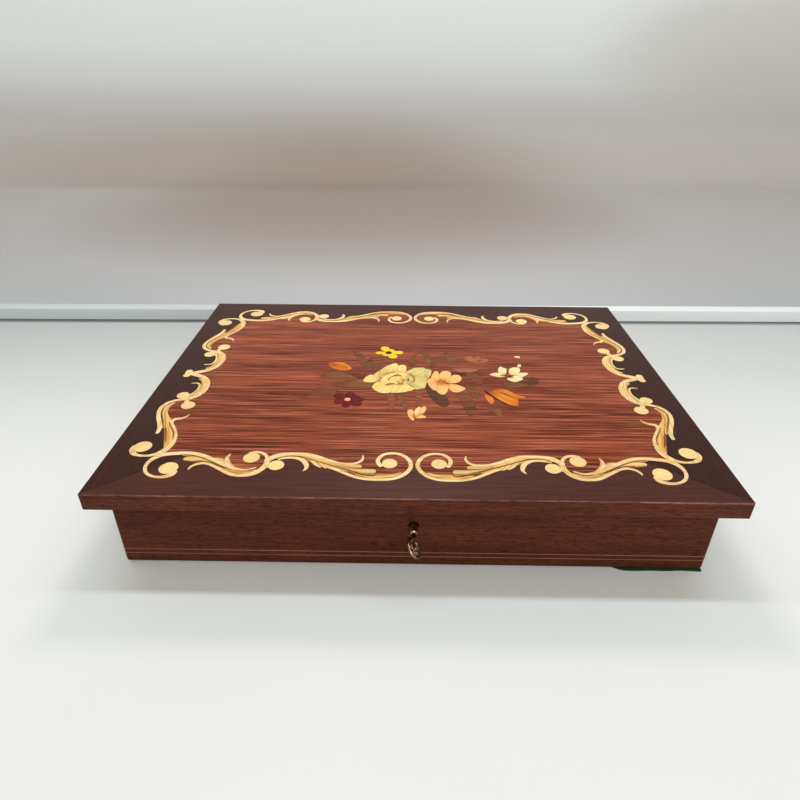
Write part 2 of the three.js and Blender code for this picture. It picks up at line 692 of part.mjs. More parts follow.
function addLid() {
  const inside = { x: lidHalf.x - LID.lipping, y: lidHalf.y - LID.lipping };
  const plans = mitredPlans(lidHalf, LID.lipping, CLEARANCE);
  for (const side of Object.keys(plans)) {
    addPart(`lid_edge_${side}`, slab(plans[side], lidBottom, veneerBottom), woods.lipping);
  }
  const cutters = [
    ...hingeCutters(lidBottom - PAST, lidBottom + HINGE.leaf, lidBottom + pilotDepth),
    ...knuckleReliefs(),
    ...strikeCutters(),
  ];
  const board = block([-inside.x, inside.x], [-inside.y, inside.y], [boardBottom, veneerBottom]);
  addPart('lid_board', cut(board, ...cutters), woods.board);
  const counter = block([-inside.x, inside.x], [-inside.y, inside.y], [lidBottom, boardBottom]);
  addPart('counter_veneer', cut(counter, ...cutters), woods.wall);
}

addCase();
addLines();
addHinge('left');
addHinge('right');
addLock();
addDrillPin();
addKey();
addLid();
addStrike();
addMarquetry();

export default group;
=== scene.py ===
"""Looks of an inlaid wooden box with a hinged lid, a small lock and its key.

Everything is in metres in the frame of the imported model. Lengths measured on the box are
written in millimetres and turned into metres with MM.
"""

import math
import random

import bmesh
import bpy
import numpy as np
from mathutils import Matrix, Vector
from mathutils.geometry import delaunay_2d_cdt


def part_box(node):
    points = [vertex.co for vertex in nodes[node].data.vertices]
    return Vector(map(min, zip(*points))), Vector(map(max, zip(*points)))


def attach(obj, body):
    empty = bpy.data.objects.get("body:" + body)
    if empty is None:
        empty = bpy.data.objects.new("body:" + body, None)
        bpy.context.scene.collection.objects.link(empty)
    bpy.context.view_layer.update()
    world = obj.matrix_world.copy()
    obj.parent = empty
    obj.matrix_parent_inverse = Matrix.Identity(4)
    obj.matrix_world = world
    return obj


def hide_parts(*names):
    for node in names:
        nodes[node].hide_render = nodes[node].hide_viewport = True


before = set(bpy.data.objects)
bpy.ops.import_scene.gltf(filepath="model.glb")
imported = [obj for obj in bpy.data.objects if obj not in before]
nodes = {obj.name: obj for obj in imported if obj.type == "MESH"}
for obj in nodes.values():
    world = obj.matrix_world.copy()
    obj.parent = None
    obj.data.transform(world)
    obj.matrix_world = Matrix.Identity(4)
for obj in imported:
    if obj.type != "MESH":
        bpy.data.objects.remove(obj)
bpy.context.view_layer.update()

MM = 0.001
SEED = 11
random.seed(SEED)

# ---------------------------------------------------------------------------
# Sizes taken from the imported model
# ---------------------------------------------------------------------------
lid_low, lid_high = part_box("border_veneer")
lid_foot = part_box("lid_edge_front")[0].z
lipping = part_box("lid_edge_front")[1].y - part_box("lid_edge_front")[0].y
wall_low = Vector((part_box("left_wall")[0].x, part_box("front_wall")[0].y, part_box("front_wall")[0].z))
wall_high = Vector((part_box("right_wall")[1].x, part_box("back_wall")[1].y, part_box("front_wall")[1].z))
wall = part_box("left_wall")[1].x - wall_low.x
line_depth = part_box("lower_line_front")[1].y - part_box("lower_line_front")[0].y


# ---------------------------------------------------------------------------
# Small helpers: colours, nodes, meshes
# ---------------------------------------------------------------------------
def srgb(red, green, blue):
    """A colour given as 0 to 255 screen values, as linear RGBA."""
    def linear(value):
        value = value / 255
        return value / 12.92 if value <= 0.04045 else ((value + 0.055) / 1.055) ** 2.4
    return (linear(red), linear(green), linear(blue), 1.0)


def plug(tree, socket, value):
    """Sets an input to a value, or links it to another node's output."""
    if isinstance(value, bpy.types.NodeSocket):
        tree.links.new(value, socket)
    else:
        socket.default_value = value


def add(tree, kind, inputs=None, **settings):
    """Adds a node, and returns it with its inputs filled in."""
    made = tree.nodes.new(kind)
    for key, value in settings.items():
        setattr(made, key, value)
    for key, value in (inputs or {}).items():
        plug(tree, made.inputs[key], value)
    return made


def math_node(tree, operation, first, second=0.0, third=0.0):
    made = add(tree, "ShaderNodeMath", {0: first, 1: second, 2: third}, operation=operation)
    return made.outputs[0]


def ramp(tree, value, low, high):
    """0 below low, 1 above high, smooth between."""
    made = add(
        tree, "ShaderNodeMapRange", {"Value": value, "From Min": low, "From Max": high},
        interpolation_type="SMOOTHSTEP",
    )
    return made.outputs["Result"]


def mix(tree, factor, first, second, blend="MIX"):
    made = add(tree, "ShaderNodeMix", data_type="RGBA", blend_type=blend)
    plug(tree, made.inputs[0], factor)
    plug(tree, made.inputs[6], first)
    plug(tree, made.inputs[7], second)
    return made.outputs[2]


def noise(tree, vector, scale, detail=3.0, rough=0.55):
    """Noise stretched by scale, a number for each axis."""
    placed = add(tree, "ShaderNodeMapping", {"Vector": vector, "Scale": scale})
    made = add(
        tree, "ShaderNodeTexNoise",
        {"Vector": placed.outputs[0], "Scale": 1.0, "Detail": detail, "Roughness": rough},
    )
    return made.outputs["Fac"]


def bump(tree, height, strength, distance):
    made = add(tree, "ShaderNodeBump", {"Height": height, "Strength": strength, "Distance": distance})
    return made.outputs["Normal"]


def new_material(name):
    made = bpy.data.materials.new(name)
    made.use_nodes = True
    tree = made.node_tree
    tree.nodes.clear()
    output = tree.nodes.new("ShaderNodeOutputMaterial")
    shader = tree.nodes.new("ShaderNodeBsdfPrincipled")
    tree.links.new(shader.outputs[0], output.inputs[0])
    return made, tree, shader


def mesh_object(name, bm, materials, smooth=False):
    """Turns a bmesh into a linked object."""
    data = bpy.data.meshes.new(name)
    bmesh.ops.recalc_face_normals(bm, faces=bm.faces)
    bm.to_mesh(data)
    bm.free()
    for each in materials:
        data.materials.append(each)
    for face in data.polygons:
        face.use_smooth = smooth
    made = bpy.data.objects.new(name, data)
    bpy.context.scene.collection.objects.link(made)
    return made


def keep_modified(made):
    """Replaces an object's mesh with its modified one."""
    bpy.context.view_layer.update()
    evaluated = made.evaluated_get(bpy.context.evaluated_depsgraph_get())
    data = bpy.data.meshes.new_from_object(evaluated)
    made.modifiers.clear()
    old = made.data
    made.data = data
    bpy.data.meshes.remove(old)
    return made


def place(made, body, slot, *replaced):
    """A finished piece: what it rides on, and the CAD nodes it stands for, which are hidden. Its finish, the argument
    slot, is not used.
    """
    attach(made, body)
    if replaced:
        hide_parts(*replaced)
    return made


def add_box(bm, low, high):
    """Adds a plain box between two corners."""
    middle = (Vector(low) + Vector(high)) / 2
    size = Vector(high) - Vector(low)
    placing = Matrix.Translation(middle) @ Matrix.Diagonal((*size, 1))
    bmesh.ops.create_cube(bm, size=1, matrix=placing)


def add_turned(bm, profile, start, axis, count=32):
    """Adds a turned shape. Its profile is (distance along the axis, radius) pairs, and closes on
    the axis at both ends or on itself."""
    axis = Vector(axis).normalized()
    side = axis.orthogonal().normalized()
    other = axis.cross(side)
    rings = []
    for k in range(count):
        turn = 2 * math.pi * k / count
        spoke = side * math.cos(turn) + other * math.sin(turn)
        rings.append([bm.verts.new(Vector(start) + axis * along + spoke * radius) for along, radius in profile])
    for k, ring in enumerate(rings):
        following = rings[(k + 1) % count]
        for a in range(len(profile)):
            b = (a + 1) % len(profile)
            if profile[a][1] > 0 or profile[b][1] > 0:
                bm.faces.new([ring[a], ring[b], following[b], following[a]])
    bmesh.ops.remove_doubles(bm, verts=bm.verts, dist=1e-7)


def add_tube(bm, path, radius, count=10, closed=False):
    """Adds a round wire along a path. The radius is one number, or one for each point."""
    points = [Vector(point) for point in path]
    radii = radius if isinstance(radius, list) else [radius] * len(points)
    rings = []
    side = None
    for k, point in enumerate(points):
        before = points[k - 1] if k or closed else point
        after = points[(k + 1) % len(points)] if k + 1 < len(points) or closed else point
        ahead = (after - before).normalized()
        side = ahead.orthogonal() if side is None else side - ahead * side.dot(ahead)
        side.normalize()
        other = ahead.cross(side)
        turns = [2 * math.pi * n / count for n in range(count)]
        rings.append([
            bm.verts.new(point + (side * math.cos(t) + other * math.sin(t)) * radii[k]) for t in turns
        ])
    pairs = list(zip(rings, rings[1:])) + ([(rings[-1], rings[0])] if closed else [])
    for ring, following in pairs:
        for n in range(count):
            m = (n + 1) % count
            bm.faces.new([ring[n], ring[m], following[m], following[n]])
    if not closed:
        bm.faces.new(rings[0][::-1])
        bm.faces.new(rings[-1])


def cut_away(made, cutters):
    """Cuts boxes and turned shapes, all in one bmesh, out of an object."""
    tool = mesh_object("cutter", cutters, [])
    carve = made.modifiers.new("cut", "BOOLEAN")
    carve.operation = "DIFFERENCE"
    carve.solver = "EXACT"
    carve.use_self = True
    carve.object = tool
    keep_modified(made)
    old = tool.data
    bpy.data.objects.remove(tool)
    bpy.data.meshes.remove(old)


def round_edges(made, width, segments=2):
    """Rounds an object's hard edges and shades it smooth between them."""
    bevel = made.modifiers.new("bevel", "BEVEL")
    bevel.width = width
    bevel.segments = segments
    bevel.limit_method = "ANGLE"
    bevel.angle_limit = math.radians(35)
    bevel.use_clamp_overlap = True
    keep_modified(made)
    made.data.shade_smooth()
    made.data.set_sharp_from_angle(angle=math.radians(35))


def softened(node, body, slot, width, material):
    """A CAD piece's own shape, with its hard edges rounded."""
    bm = bmesh.new()
    bm.from_mesh(nodes[node].data)
    bm.transform(nodes[node].matrix_world)
    bmesh.ops.remove_doubles(bm, verts=bm.verts, dist=1e-6)
    bmesh.ops.dissolve_limit(bm, angle_limit=math.radians(1), verts=bm.verts, edges=bm.edges)
    made = mesh_object("soft_" + node, bm, [material])
    round_edges(made, width)
    return place(made, body, slot, node)


# ---------------------------------------------------------------------------
# Wood materials
# ---------------------------------------------------------------------------
VENEERS = {
    # name: pale colour, dark colour, scorched colour
    "border": (srgb(86, 49, 43), srgb(74, 41, 36), srgb(32, 18, 15)),
    "cream": (srgb(237, 211, 161), srgb(217, 179, 118), srgb(176, 116, 60)),
    "straw": (srgb(229, 200, 136), srgb(206, 166, 96), srgb(168, 108, 50)),
    "gold": (srgb(228, 186, 108), srgb(198, 148, 74), srgb(150, 92, 40)),
    "shade": (srgb(150, 98, 50), srgb(112, 68, 32), srgb(80, 44, 20)),
    "eye": (srgb(232, 206, 146), srgb(225, 198, 136), srgb(206, 160, 92)),
    "yellow": (srgb(250, 208, 58), srgb(238, 184, 30), srgb(196, 120, 20)),
    "umber": (srgb(70, 30, 16), srgb(44, 18, 10), srgb(26, 10, 6)),
    "seam": (srgb(150, 104, 44), srgb(118, 76, 30), srgb(80, 46, 16)),
    "crimson": (srgb(112, 20, 24), srgb(78, 10, 16), srgb(46, 6, 10)),
    "salmon": (srgb(240, 170, 130), srgb(222, 140, 100), srgb(180, 100, 60)),
    "peach": (srgb(246, 190, 124), srgb(236, 168, 100), srgb(208, 122, 56)),
    "pale_peach": (srgb(248, 206, 152), srgb(238, 186, 126), srgb(206, 140, 84)),
    "white": (srgb(234, 221, 170), srgb(221, 200, 144), srgb(206, 160, 96)),
    "rose": (srgb(240, 210, 136), srgb(227, 188, 106), srgb(190, 132, 60)),
    "rose_shadow": (srgb(222, 196, 124), srgb(196, 166, 94), srgb(140, 96, 46)),
    "pale_green": (srgb(216, 200, 126), srgb(188, 174, 104), srgb(130, 106, 54)),
    "orange": (srgb(214, 134, 36), srgb(196, 108, 22), srgb(150, 62, 14)),
    "amber": (srgb(226, 140, 70), srgb(204, 112, 48), srgb(150, 70, 26)),
    "rust": (srgb(200, 104, 30), srgb(178, 84, 20), srgb(124, 50, 14)),
    "tan": (srgb(170, 100, 66), srgb(150, 84, 52), srgb(112, 58, 34)),
    "leaf": (srgb(130, 76, 42), srgb(90, 50, 28), srgb(74, 40, 24)),
    "olive": (srgb(132, 84, 46), srgb(94, 56, 30), srgb(76, 44, 26)),
    "tan_leaf": (srgb(146, 86, 48), srgb(110, 60, 34), srgb(92, 50, 30)),
    "pale_leaf": (srgb(164, 100, 74), srgb(142, 84, 60), srgb(108, 60, 42)),
    "dark_leaf": (srgb(100, 62, 36), srgb(66, 38, 22), srgb(44, 26, 16)),
}


def lacquer(shader, roughness=0.36, shine=0.08):
    """A thin, slightly dulled lacquer."""
    shader.inputs["Roughness"].default_value = roughness
    shader.inputs["Specular IOR Level"].default_value = shine


def veneer_material(name):
    """A veneer whose grain runs along its UV's first direction. The attribute named cut holds how far a spot is
    scorched by the hot sand, and the piece's own tone times a painted shade that darkens its sides down into the glue
    lines."""
    pale, dark, scorched = VENEERS[name]
    made, tree, shader = new_material("veneer_" + name)
    uv = add(tree, "ShaderNodeUVMap").outputs[0]
    cut = add(tree, "ShaderNodeSeparateColor", {0: add(tree, "ShaderNodeAttribute", attribute_name="cut").outputs[0]})
    figure = noise(tree, uv, (22, 460, 1), detail=4.0, rough=0.65)
    fibre = noise(tree, uv, (240, 4200, 1), detail=2.0)
    colour = mix(tree, ramp(tree, figure, 0.4, 0.62), pale, dark)
    edge = math_node(tree, "ADD", cut.outputs[0], math_node(tree, "MULTIPLY_ADD", fibre, 0.3, -0.15))
    colour = mix(tree, ramp(tree, edge, 0.35, 1.05), colour, scorched)
    # Value carries the piece's tone and the painted shade on its sides.
    toned_and_shaded = add(tree, "ShaderNodeHueSaturation", {"Color": colour, "Value": cut.outputs[1]})
    plug(tree, shader.inputs["Base Color"], toned_and_shaded.outputs[0])
    plug(tree, shader.inputs["Normal"], bump(tree, fibre, 0.12, 0.0002))
    lacquer(shader)
    return made


def field_material():
    """Red-brown veneer with long dark streaks."""
    made, tree, shader = new_material("veneer_field")
    uv = add(tree, "ShaderNodeUVMap").outputs[0]
    broad = noise(tree, uv, (6, 48, 1), detail=3.0)
    streak = noise(tree, uv, (8, 640, 1), detail=4.0, rough=0.7)
    line = noise(tree, uv, (14, 1050, 1), detail=3.0, rough=0.65)
    fibre = noise(tree, uv, (300, 5200, 1), detail=2.0)
    colour = mix(tree, ramp(tree, broad, 0.36, 0.62), srgb(144, 68, 41), srgb(112, 48, 27))
    colour = mix(tree, ramp(tree, streak, 0.47, 0.3), colour, srgb(188, 112, 82))
    colour = mix(tree, ramp(tree, streak, 0.49, 0.66), colour, srgb(78, 25, 9))
    colour = mix(tree, ramp(tree, line, 0.46, 0.34), colour, srgb(186, 110, 82))
    colour = mix(tree, ramp(tree, line, 0.52, 0.62), colour, srgb(58, 18, 7))
    plug(tree, shader.inputs["Base Color"], colour)
    plug(tree, shader.inputs["Normal"], bump(tree, fibre, 0.12, 0.0002))
    lacquer(shader)
    return made


def mahogany_material(name, along, pale, dark, pore, roughness=0.5):
    """Solid or veneered mahogany, its grain along the x or the y axis of the box."""
    made, tree, shader = new_material(name)
    place_here = add(tree, "ShaderNodeTexCoord").outputs["Object"]
    def stretched(length, across):
        return (length, across, across) if along == "x" else (across, length, across)
    broad = noise(tree, place_here, stretched(9, 70), detail=3.0)
    figure = noise(tree, place_here, stretched(22, 520), detail=4.0, rough=0.62)
    pores = noise(tree, place_here, stretched(170, 1300), detail=3.0)
    colour = mix(tree, math_node(tree, "MULTIPLY", ramp(tree, broad, 0.32, 0.68), 0.5), pale, dark)
    colour = mix(tree, math_node(tree, "MULTIPLY", ramp(tree, figure, 0.44, 0.62), 0.55), colour, dark)
    colour = mix(tree, math_node(tree, "MULTIPLY", ramp(tree, pores, 0.46, 0.64), 0.65), colour, pore)
    plug(tree, shader.inputs["Base Color"], colour)
    plug(tree, shader.inputs["Normal"], bump(tree, pores, 0.15, 0.0003))
    lacquer(shader, roughness)
    return made


def plain_wood_material(name, pale, dark):
    """Unfinished board wood."""
    made, tree, shader = new_material(name)
    place_here = add(tree, "ShaderNodeTexCoord").outputs["Object"]
    figure = noise(tree, place_here, (14, 240, 240), detail=4.0)
    fibre = noise(tree, place_here, (120, 2400, 2400))
    colour = mix(tree, ramp(tree, figure, 0.35, 0.7), pale, dark)
    plug(tree, shader.inputs["Base Color"], colour)
    plug(tree, shader.inputs["Normal"], bump(tree, fibre, 0.3, 0.0004))
    shader.inputs["Roughness"].default_value = 0.75
    return made


def felt_material():
    """Green baize: short matted fibres."""
    made, tree, shader = new_material("green_felt")
    place_here = add(tree, "ShaderNodeTexCoord").outputs["Object"]
    clump = noise(tree, place_here, (260, 260, 260), detail=4.0)
    fibre = noise(tree, place_here, (2200, 2200, 2200), detail=3.0, rough=0.7)
    colour = mix(tree, ramp(tree, clump, 0.3, 0.7), srgb(10, 58, 24), srgb(7, 43, 17))
    colour = mix(tree, ramp(tree, fibre, 0.45, 0.75), colour, srgb(24, 78, 36))
    plug(tree, shader.inputs["Base Color"], colour)
    plug(tree, shader.inputs["Normal"], bump(tree, fibre, 0.6, 0.0006))
    shader.inputs["Roughness"].default_value = 0.95
    shader.inputs["Sheen Weight"].default_value = 0.05
    shader.inputs["Sheen Roughness"].default_value = 0.5
    shader.inputs["Specular IOR Level"].default_value = 0.1
    return made


def metal_material(name, bright, dull, tarnish, roughness):
    """Metal with tarnish in patches and fine scratches."""
    made, tree, shader = new_material(name)
    place_here = add(tree, "ShaderNodeTexCoord").outputs["Object"]
    patch = noise(tree, place_here, (220, 220, 220), detail=5.0)
    scratch = noise(tree, place_here, (900, 5200, 1800), detail=2.0)
    colour = mix(tree, ramp(tree, patch, 0.4, 0.62), bright, dull)
    colour = mix(tree, ramp(tree, patch, 0.58, 0.74), colour, tarnish)
    plug(tree, shader.inputs["Base Color"], colour)
    shine = math_node(tree, "MULTIPLY_ADD", scratch, 0.25, roughness - 0.1)
    plug(tree, shader.inputs["Roughness"], shine)
    plug(tree, shader.inputs["Normal"], bump(tree, scratch, 0.08, 0.0001))
    shader.inputs["Metallic"].default_value = 1.0
    return made


veneers = {name: veneer_material(name) for name in VENEERS}
veneers["field"] = field_material()
WALL_TONES = (srgb(92, 46, 27), srgb(59, 26, 15), srgb(33, 13, 8))
EDGE_TONES = (srgb(98, 51, 32), srgb(69, 32, 20), srgb(42, 17, 12))
ARRIS_TONES = (srgb(150, 104, 88), srgb(84, 46, 36), srgb(58, 30, 24))
wall_wood = {axis: mahogany_material("wall_wood_" + axis, axis, *WALL_TONES) for axis in "xy"}
edge_wood = {axis: mahogany_material("edge_wood_" + axis, axis, *EDGE_TONES) for axis in "xy"}
arris_wood = {axis: mahogany_material("arris_wood_" + axis, axis, *ARRIS_TONES) for axis in "xy"}
line_wood = plain_wood_material("line_wood", srgb(138, 87, 63), srgb(108, 63, 43))
board_wood = plain_wood_material("board_wood", srgb(186, 146, 100), srgb(150, 108, 68))
felt = felt_material()
brass = metal_material("brass", srgb(206, 172, 96), srgb(176, 138, 66), srgb(92, 66, 30), 0.32)
brass_old = metal_material("brass_old", srgb(176, 144, 118), srgb(104, 78, 46), srgb(52, 38, 20), 0.26)
steel = metal_material("steel", srgb(170, 172, 176), srgb(128, 130, 134), srgb(80, 70, 62), 0.4)


# ---------------------------------------------------------------------------
# Marquetry: outlines
# ---------------------------------------------------------------------------
# A strand is a smooth band: (wood, scorched side, points), and a point is its distance from
# the lid's left edge, from its front edge, and the band's half width there, in millimetres.
# The strands fill one quarter of the lid and are mirrored into the other three.
LEFT, NEITHER, RIGHT = 1, 0, -1
STRANDS = [
    ("gold", RIGHT, [
        (52, 43.3, 0.8), (58, 42.6, 2), (64, 40.6, 3), (70, 37.6, 3.4), (76, 34.2, 3.6),
        (82, 31, 3.8), (88, 28.2, 3.6), (94, 26, 3.2), (100, 25, 2.6), (105, 26.8, 1.6)]),
    ("straw", LEFT, [
        (72.2, 39, 0.6), (75.5, 39.2, 1.7), (79, 38, 2.5), (83, 34.4, 3), (87, 30.6, 2.6)]),
    ("straw", RIGHT, [(55.6, 38.9, 2), (60, 38.6, 2.6), (66, 38.4, 2.4), (71, 36.6, 1.4)]),
    ("cream", NEITHER, [
        (53.2, 25, 1.2), (51.5, 21.3, 2), (46.5, 18.9, 1.5), (40.5, 19.2, 1.2), (35.2, 22.2, 1.2),
        (32, 27.2, 1.3), (31.3, 33, 1.4), (33.2, 38.6, 1.9), (37.5, 42.8, 2.1), (44, 44.6, 1.9),
        (51, 45.4, 2), (58, 45, 2.1), (65, 42.8, 2.2), (72, 39.2, 2.1), (79, 35.5, 1.8),
        (85, 31.5, 1.2), (90, 28.5, 0.6)]),
    ("cream", NEITHER, [
        (60.7, 27, 0.5), (61.3, 29.6, 1), (63.6, 32.6, 1.2), (68, 34.2, 1.2), (73, 33.2, 1.2),
        (78, 30.2, 1.3), (84, 26.2, 1.4), (90, 22.7, 1.5), (96, 21.6, 1.5), (102, 22.5, 1.8),
        (107, 26, 2), (110, 31, 1.9), (110.6, 37, 1.5), (109.6, 42.4, 1.3), (106.4, 46.2, 1.3),
        (101.5, 47.8, 1.2), (97, 46.6, 0.8)]),
    ("cream", LEFT, [
        (84.2, 45.2, 0.5), (83.2, 41.6, 1.3), (83.8, 37.2, 2), (86.2, 33, 2.1), (90.4, 29.6, 1.4),
        (95, 27.9, 1.1), (100, 28, 0.9), (104.5, 30.2, 0.7)]),
    ("gold", RIGHT, [
        (116, 41, 0.8), (122, 43.2, 1.4), (129, 43.4, 1.8), (136, 41.8, 2.4), (143, 38.6, 3.2),
        (150, 35.2, 3.4), (157, 32.2, 3), (164, 29.4, 2.2), (170, 27, 1.2)]),
    ("straw", LEFT, [(141, 39.2, 1.4), (144.2, 35.2, 1.8), (147.4, 31.8, 0.9)]),
    ("straw", LEFT, [(146.6, 36.8, 1.4), (149.2, 33.4, 1.7), (151.4, 30.8, 0.8)]),
    ("straw", LEFT, [(151, 34, 1.3), (153.4, 31.6, 1.5), (155.8, 29.8, 0.7)]),
    ("straw", RIGHT, [(158, 34.4, 1.2), (163, 33.6, 1.8), (168.5, 33, 2.2), (173.2, 32.8, 2)]),
    ("straw", RIGHT, [(165, 30.2, 0.8), (170, 28.8, 1.5), (176, 27.6, 2.3), (182.4, 27.6, 2.5)]),
    ("gold", LEFT, [
        (172, 24.2, 0.7), (178, 22.9, 1.6), (184, 22.6, 2.8), (190, 22.9, 2.5), (196, 23.8, 1.7),
        (201, 26.3, 0.8)]),
    ("cream", NEITHER, [
        (117.6, 39.4, 0.6), (123, 41.4, 1.1), (129.5, 41.4, 1.3), (134.6, 38.9, 1.7),
        (137.6, 34.4, 1.8), (138.2, 30, 1.2), (136.4, 27, 0.4)]),
    ("cream", NEITHER, [
        (112.5, 31, 1.2), (111.2, 36, 1.6), (112.8, 40.8, 2.2), (117.4, 44.2, 2.2), (124, 45.6, 1.9),
        (131, 45.8, 1.9), (138, 45.2, 1.8), (145, 42.8, 1.6), (152, 39.2, 1.4), (159, 36.4, 1.2),
        (164, 35.4, 1.1)]),
    ("cream", NEITHER, [
        (160, 36.2, 0.9), (166, 35.6, 1), (170.5, 36.2, 1.1), (173.9, 38.8, 1.1), (175.2, 42.4, 0.9),
        (174.6, 45.9, 0.3)]),
    ("cream", NEITHER, [
        (152.5, 31.6, 0.8), (157.5, 29.4, 1.2), (163, 26.2, 1.3), (168.5, 22.9, 1.3),
        (174.5, 20.4, 1.3), (181, 19.1, 1.2), (188, 18.9, 1.2), (195, 19.8, 1.3), (201, 22.8, 1.5),
        (205.4, 27.6, 1.5), (207.7, 33.4, 1.5), (206.9, 39.5, 1.5), (203.3, 45, 1.4),
        (197.4, 48, 1.3), (190.8, 47.4, 1.3), (186.6, 43.6, 1.4), (185.4, 38.6, 1.5), (187.4, 34, 1.6)]),
    ("gold", LEFT, [
        (36.4, 52.5, 1.2), (36.2, 58, 2.6), (34.9, 65, 3.6), (32.7, 72, 3.7), (29.7, 78.5, 3.6),
        (26.4, 85, 3.4), (23.2, 91, 2.6), (20.8, 97, 1.8), (20, 103, 1.2), (21.4, 108.5, 0.7)]),
    ("straw", RIGHT, [
        (26.8, 77, 1.2), (24.4, 83.5, 1.5), (21.6, 90, 1.6), (19.2, 96, 1.8), (18.6, 102, 1.9),
        (19.6, 107, 1.5), (22.4, 111.5, 1.2)]),
    ("straw", LEFT, [
        (33, 124, 0.9), (36.2, 129.5, 1.8), (37.4, 136, 2.2), (36.8, 143, 2.2), (34.4, 149.2, 2.2),
        (30.6, 151.4, 1)]),
    ("cream", NEITHER, [
        (14.2, 53, 0.9), (14.6, 48.8, 1.7), (17.3, 44.5, 1.9), (21.8, 42.2, 1.3), (28, 41.9, 1.3),
        (33.4, 44, 1.8), (37.4, 48.6, 2.2), (39.6, 54.4, 2), (39.9, 60.5, 1.7), (38.8, 67, 1.5),
        (36, 73.5, 1.4), (32.4, 79.5, 1.4), (30, 84, 1.6), (31, 88, 1.5), (35, 89.4, 1.3),
        (38.4, 92, 0.9), (40, 95.4, 0.3)]),
    ("cream", NEITHER, [
        (26, 143.6, 0.5), (29.6, 144.2, 0.8), (32.6, 143, 0.9), (34.2, 139, 1), (34.2, 133, 0.9),
        (32.6, 127.6, 0.9), (30, 122.5, 1.6)]),
    ("cream", NEITHER, [
        (24.6, 70, 1.4), (24.2, 75, 1.6), (22.2, 81, 1.6), (19.6, 87, 1.7), (17, 93, 1.6),
        (15.2, 99, 1.5), (15, 105, 1.6), (16.6, 110.4, 1.6), (20.4, 114.6, 1.6), (25.6, 117.2, 1.7),
        (30.2, 118.6, 2), (34.4, 121, 2.2), (38, 125.4, 2.1), (40.2, 131.4, 1.9), (40.7, 138, 1.6),
        (39.6, 145, 1.6), (36.4, 151.4, 1.8), (31.4, 155.6, 2.2), (26, 158.2, 2.4), (21, 160.4, 2.3),
        (16.6, 161.6, 1.8)]),
    ("shade", NEITHER, [
        (50, 43.6, 0.2), (57, 43.2, 0.5), (64, 41.2, 0.6), (71, 37.6, 0.6), (78, 33.4, 0.6),
        (84, 29.8, 0.5), (89, 27.2, 0.2)]),
    ("shade", NEITHER, [(62, 37, 0.2), (68, 36.6, 0.5), (74, 34.4, 0.5), (80, 31.2, 0.4), (85, 28.4, 0.2)]),
    ("shade", NEITHER, [(92, 26.6, 0.2), (98, 26.2, 0.5), (104, 28, 0.4), (107.6, 32, 0.2)]),
    ("shade", NEITHER, [
        (118, 42, 0.2), (125, 43.6, 0.5), (132, 43, 0.7), (139, 40.4, 0.5), (146, 37.2, 0.4),
        (153, 34.2, 0.4), (160, 31.4, 0.6), (167, 28.4, 0.7), (173, 26.4, 0.3)]),
    ("shade", NEITHER, [(166, 27.4, 0.2), (172, 25.2, 0.6), (178, 23.6, 0.7), (183, 23.2, 0.7), (185, 25, 0.3)]),
    ("shade", NEITHER, [(166, 31.2, 0.2), (171, 30.7, 0.6), (176, 30.6, 0.4), (180, 30.6, 0.2)]),
    ("shade", NEITHER, [(34.6, 59, 0.2), (31.6, 66, 0.9), (29.6, 72, 0.9), (27.8, 77, 0.4)]),
    ("shade", NEITHER, [(26.6, 76.5, 0.2), (23.6, 84, 0.5), (20.2, 91.5, 0.6), (17.6, 98, 0.6), (17, 104, 0.3)]),
    ("shade", NEITHER, [(38.6, 62, 0.2), (36.4, 70, 0.5), (32.4, 77, 0.5), (28.4, 84, 0.3)]),
]
# Round eyes at the heart of each volute, and small joining pieces: x, y and radius as above.
EYES = [
    (47.2, 28.4, 6.4), (99.4, 41.2, 5.7), (117.8, 33, 5.4), (193.4, 36.5, 5.3),
    (20.8, 52.4, 6.4), (34.5, 108.7, 5.5), (25.6, 124, 5), (17.6, 157.4, 3),
]
JOINERS = [(110.6, 38.6, 2), (28.6, 119, 2.6), (35.2, 45.2, 2.4), (31.6, 114.6, 2.2)]
# The seam between border and field follows the strands in the same quarter.
SEAM = [
    (17, 161), (26, 158.2), (36.4, 151.4), (40.2, 131.4), (30.2, 118.6), (20.4, 114.6), (15, 105),
    (17, 93), (22.2, 81), (29.7, 78.5), (36.2, 62), (39.6, 54.4), (37.5, 46), (44, 44.6), (58, 44),
    (70, 38), (82, 31), (94, 25), (104, 25), (110, 31), (110.8, 38), (112.8, 41), (124, 44.6), (138, 42.6),
    (150, 36), (168.5, 23), (188, 20), (201, 24), (207.7, 33.4), (210, 35),
]

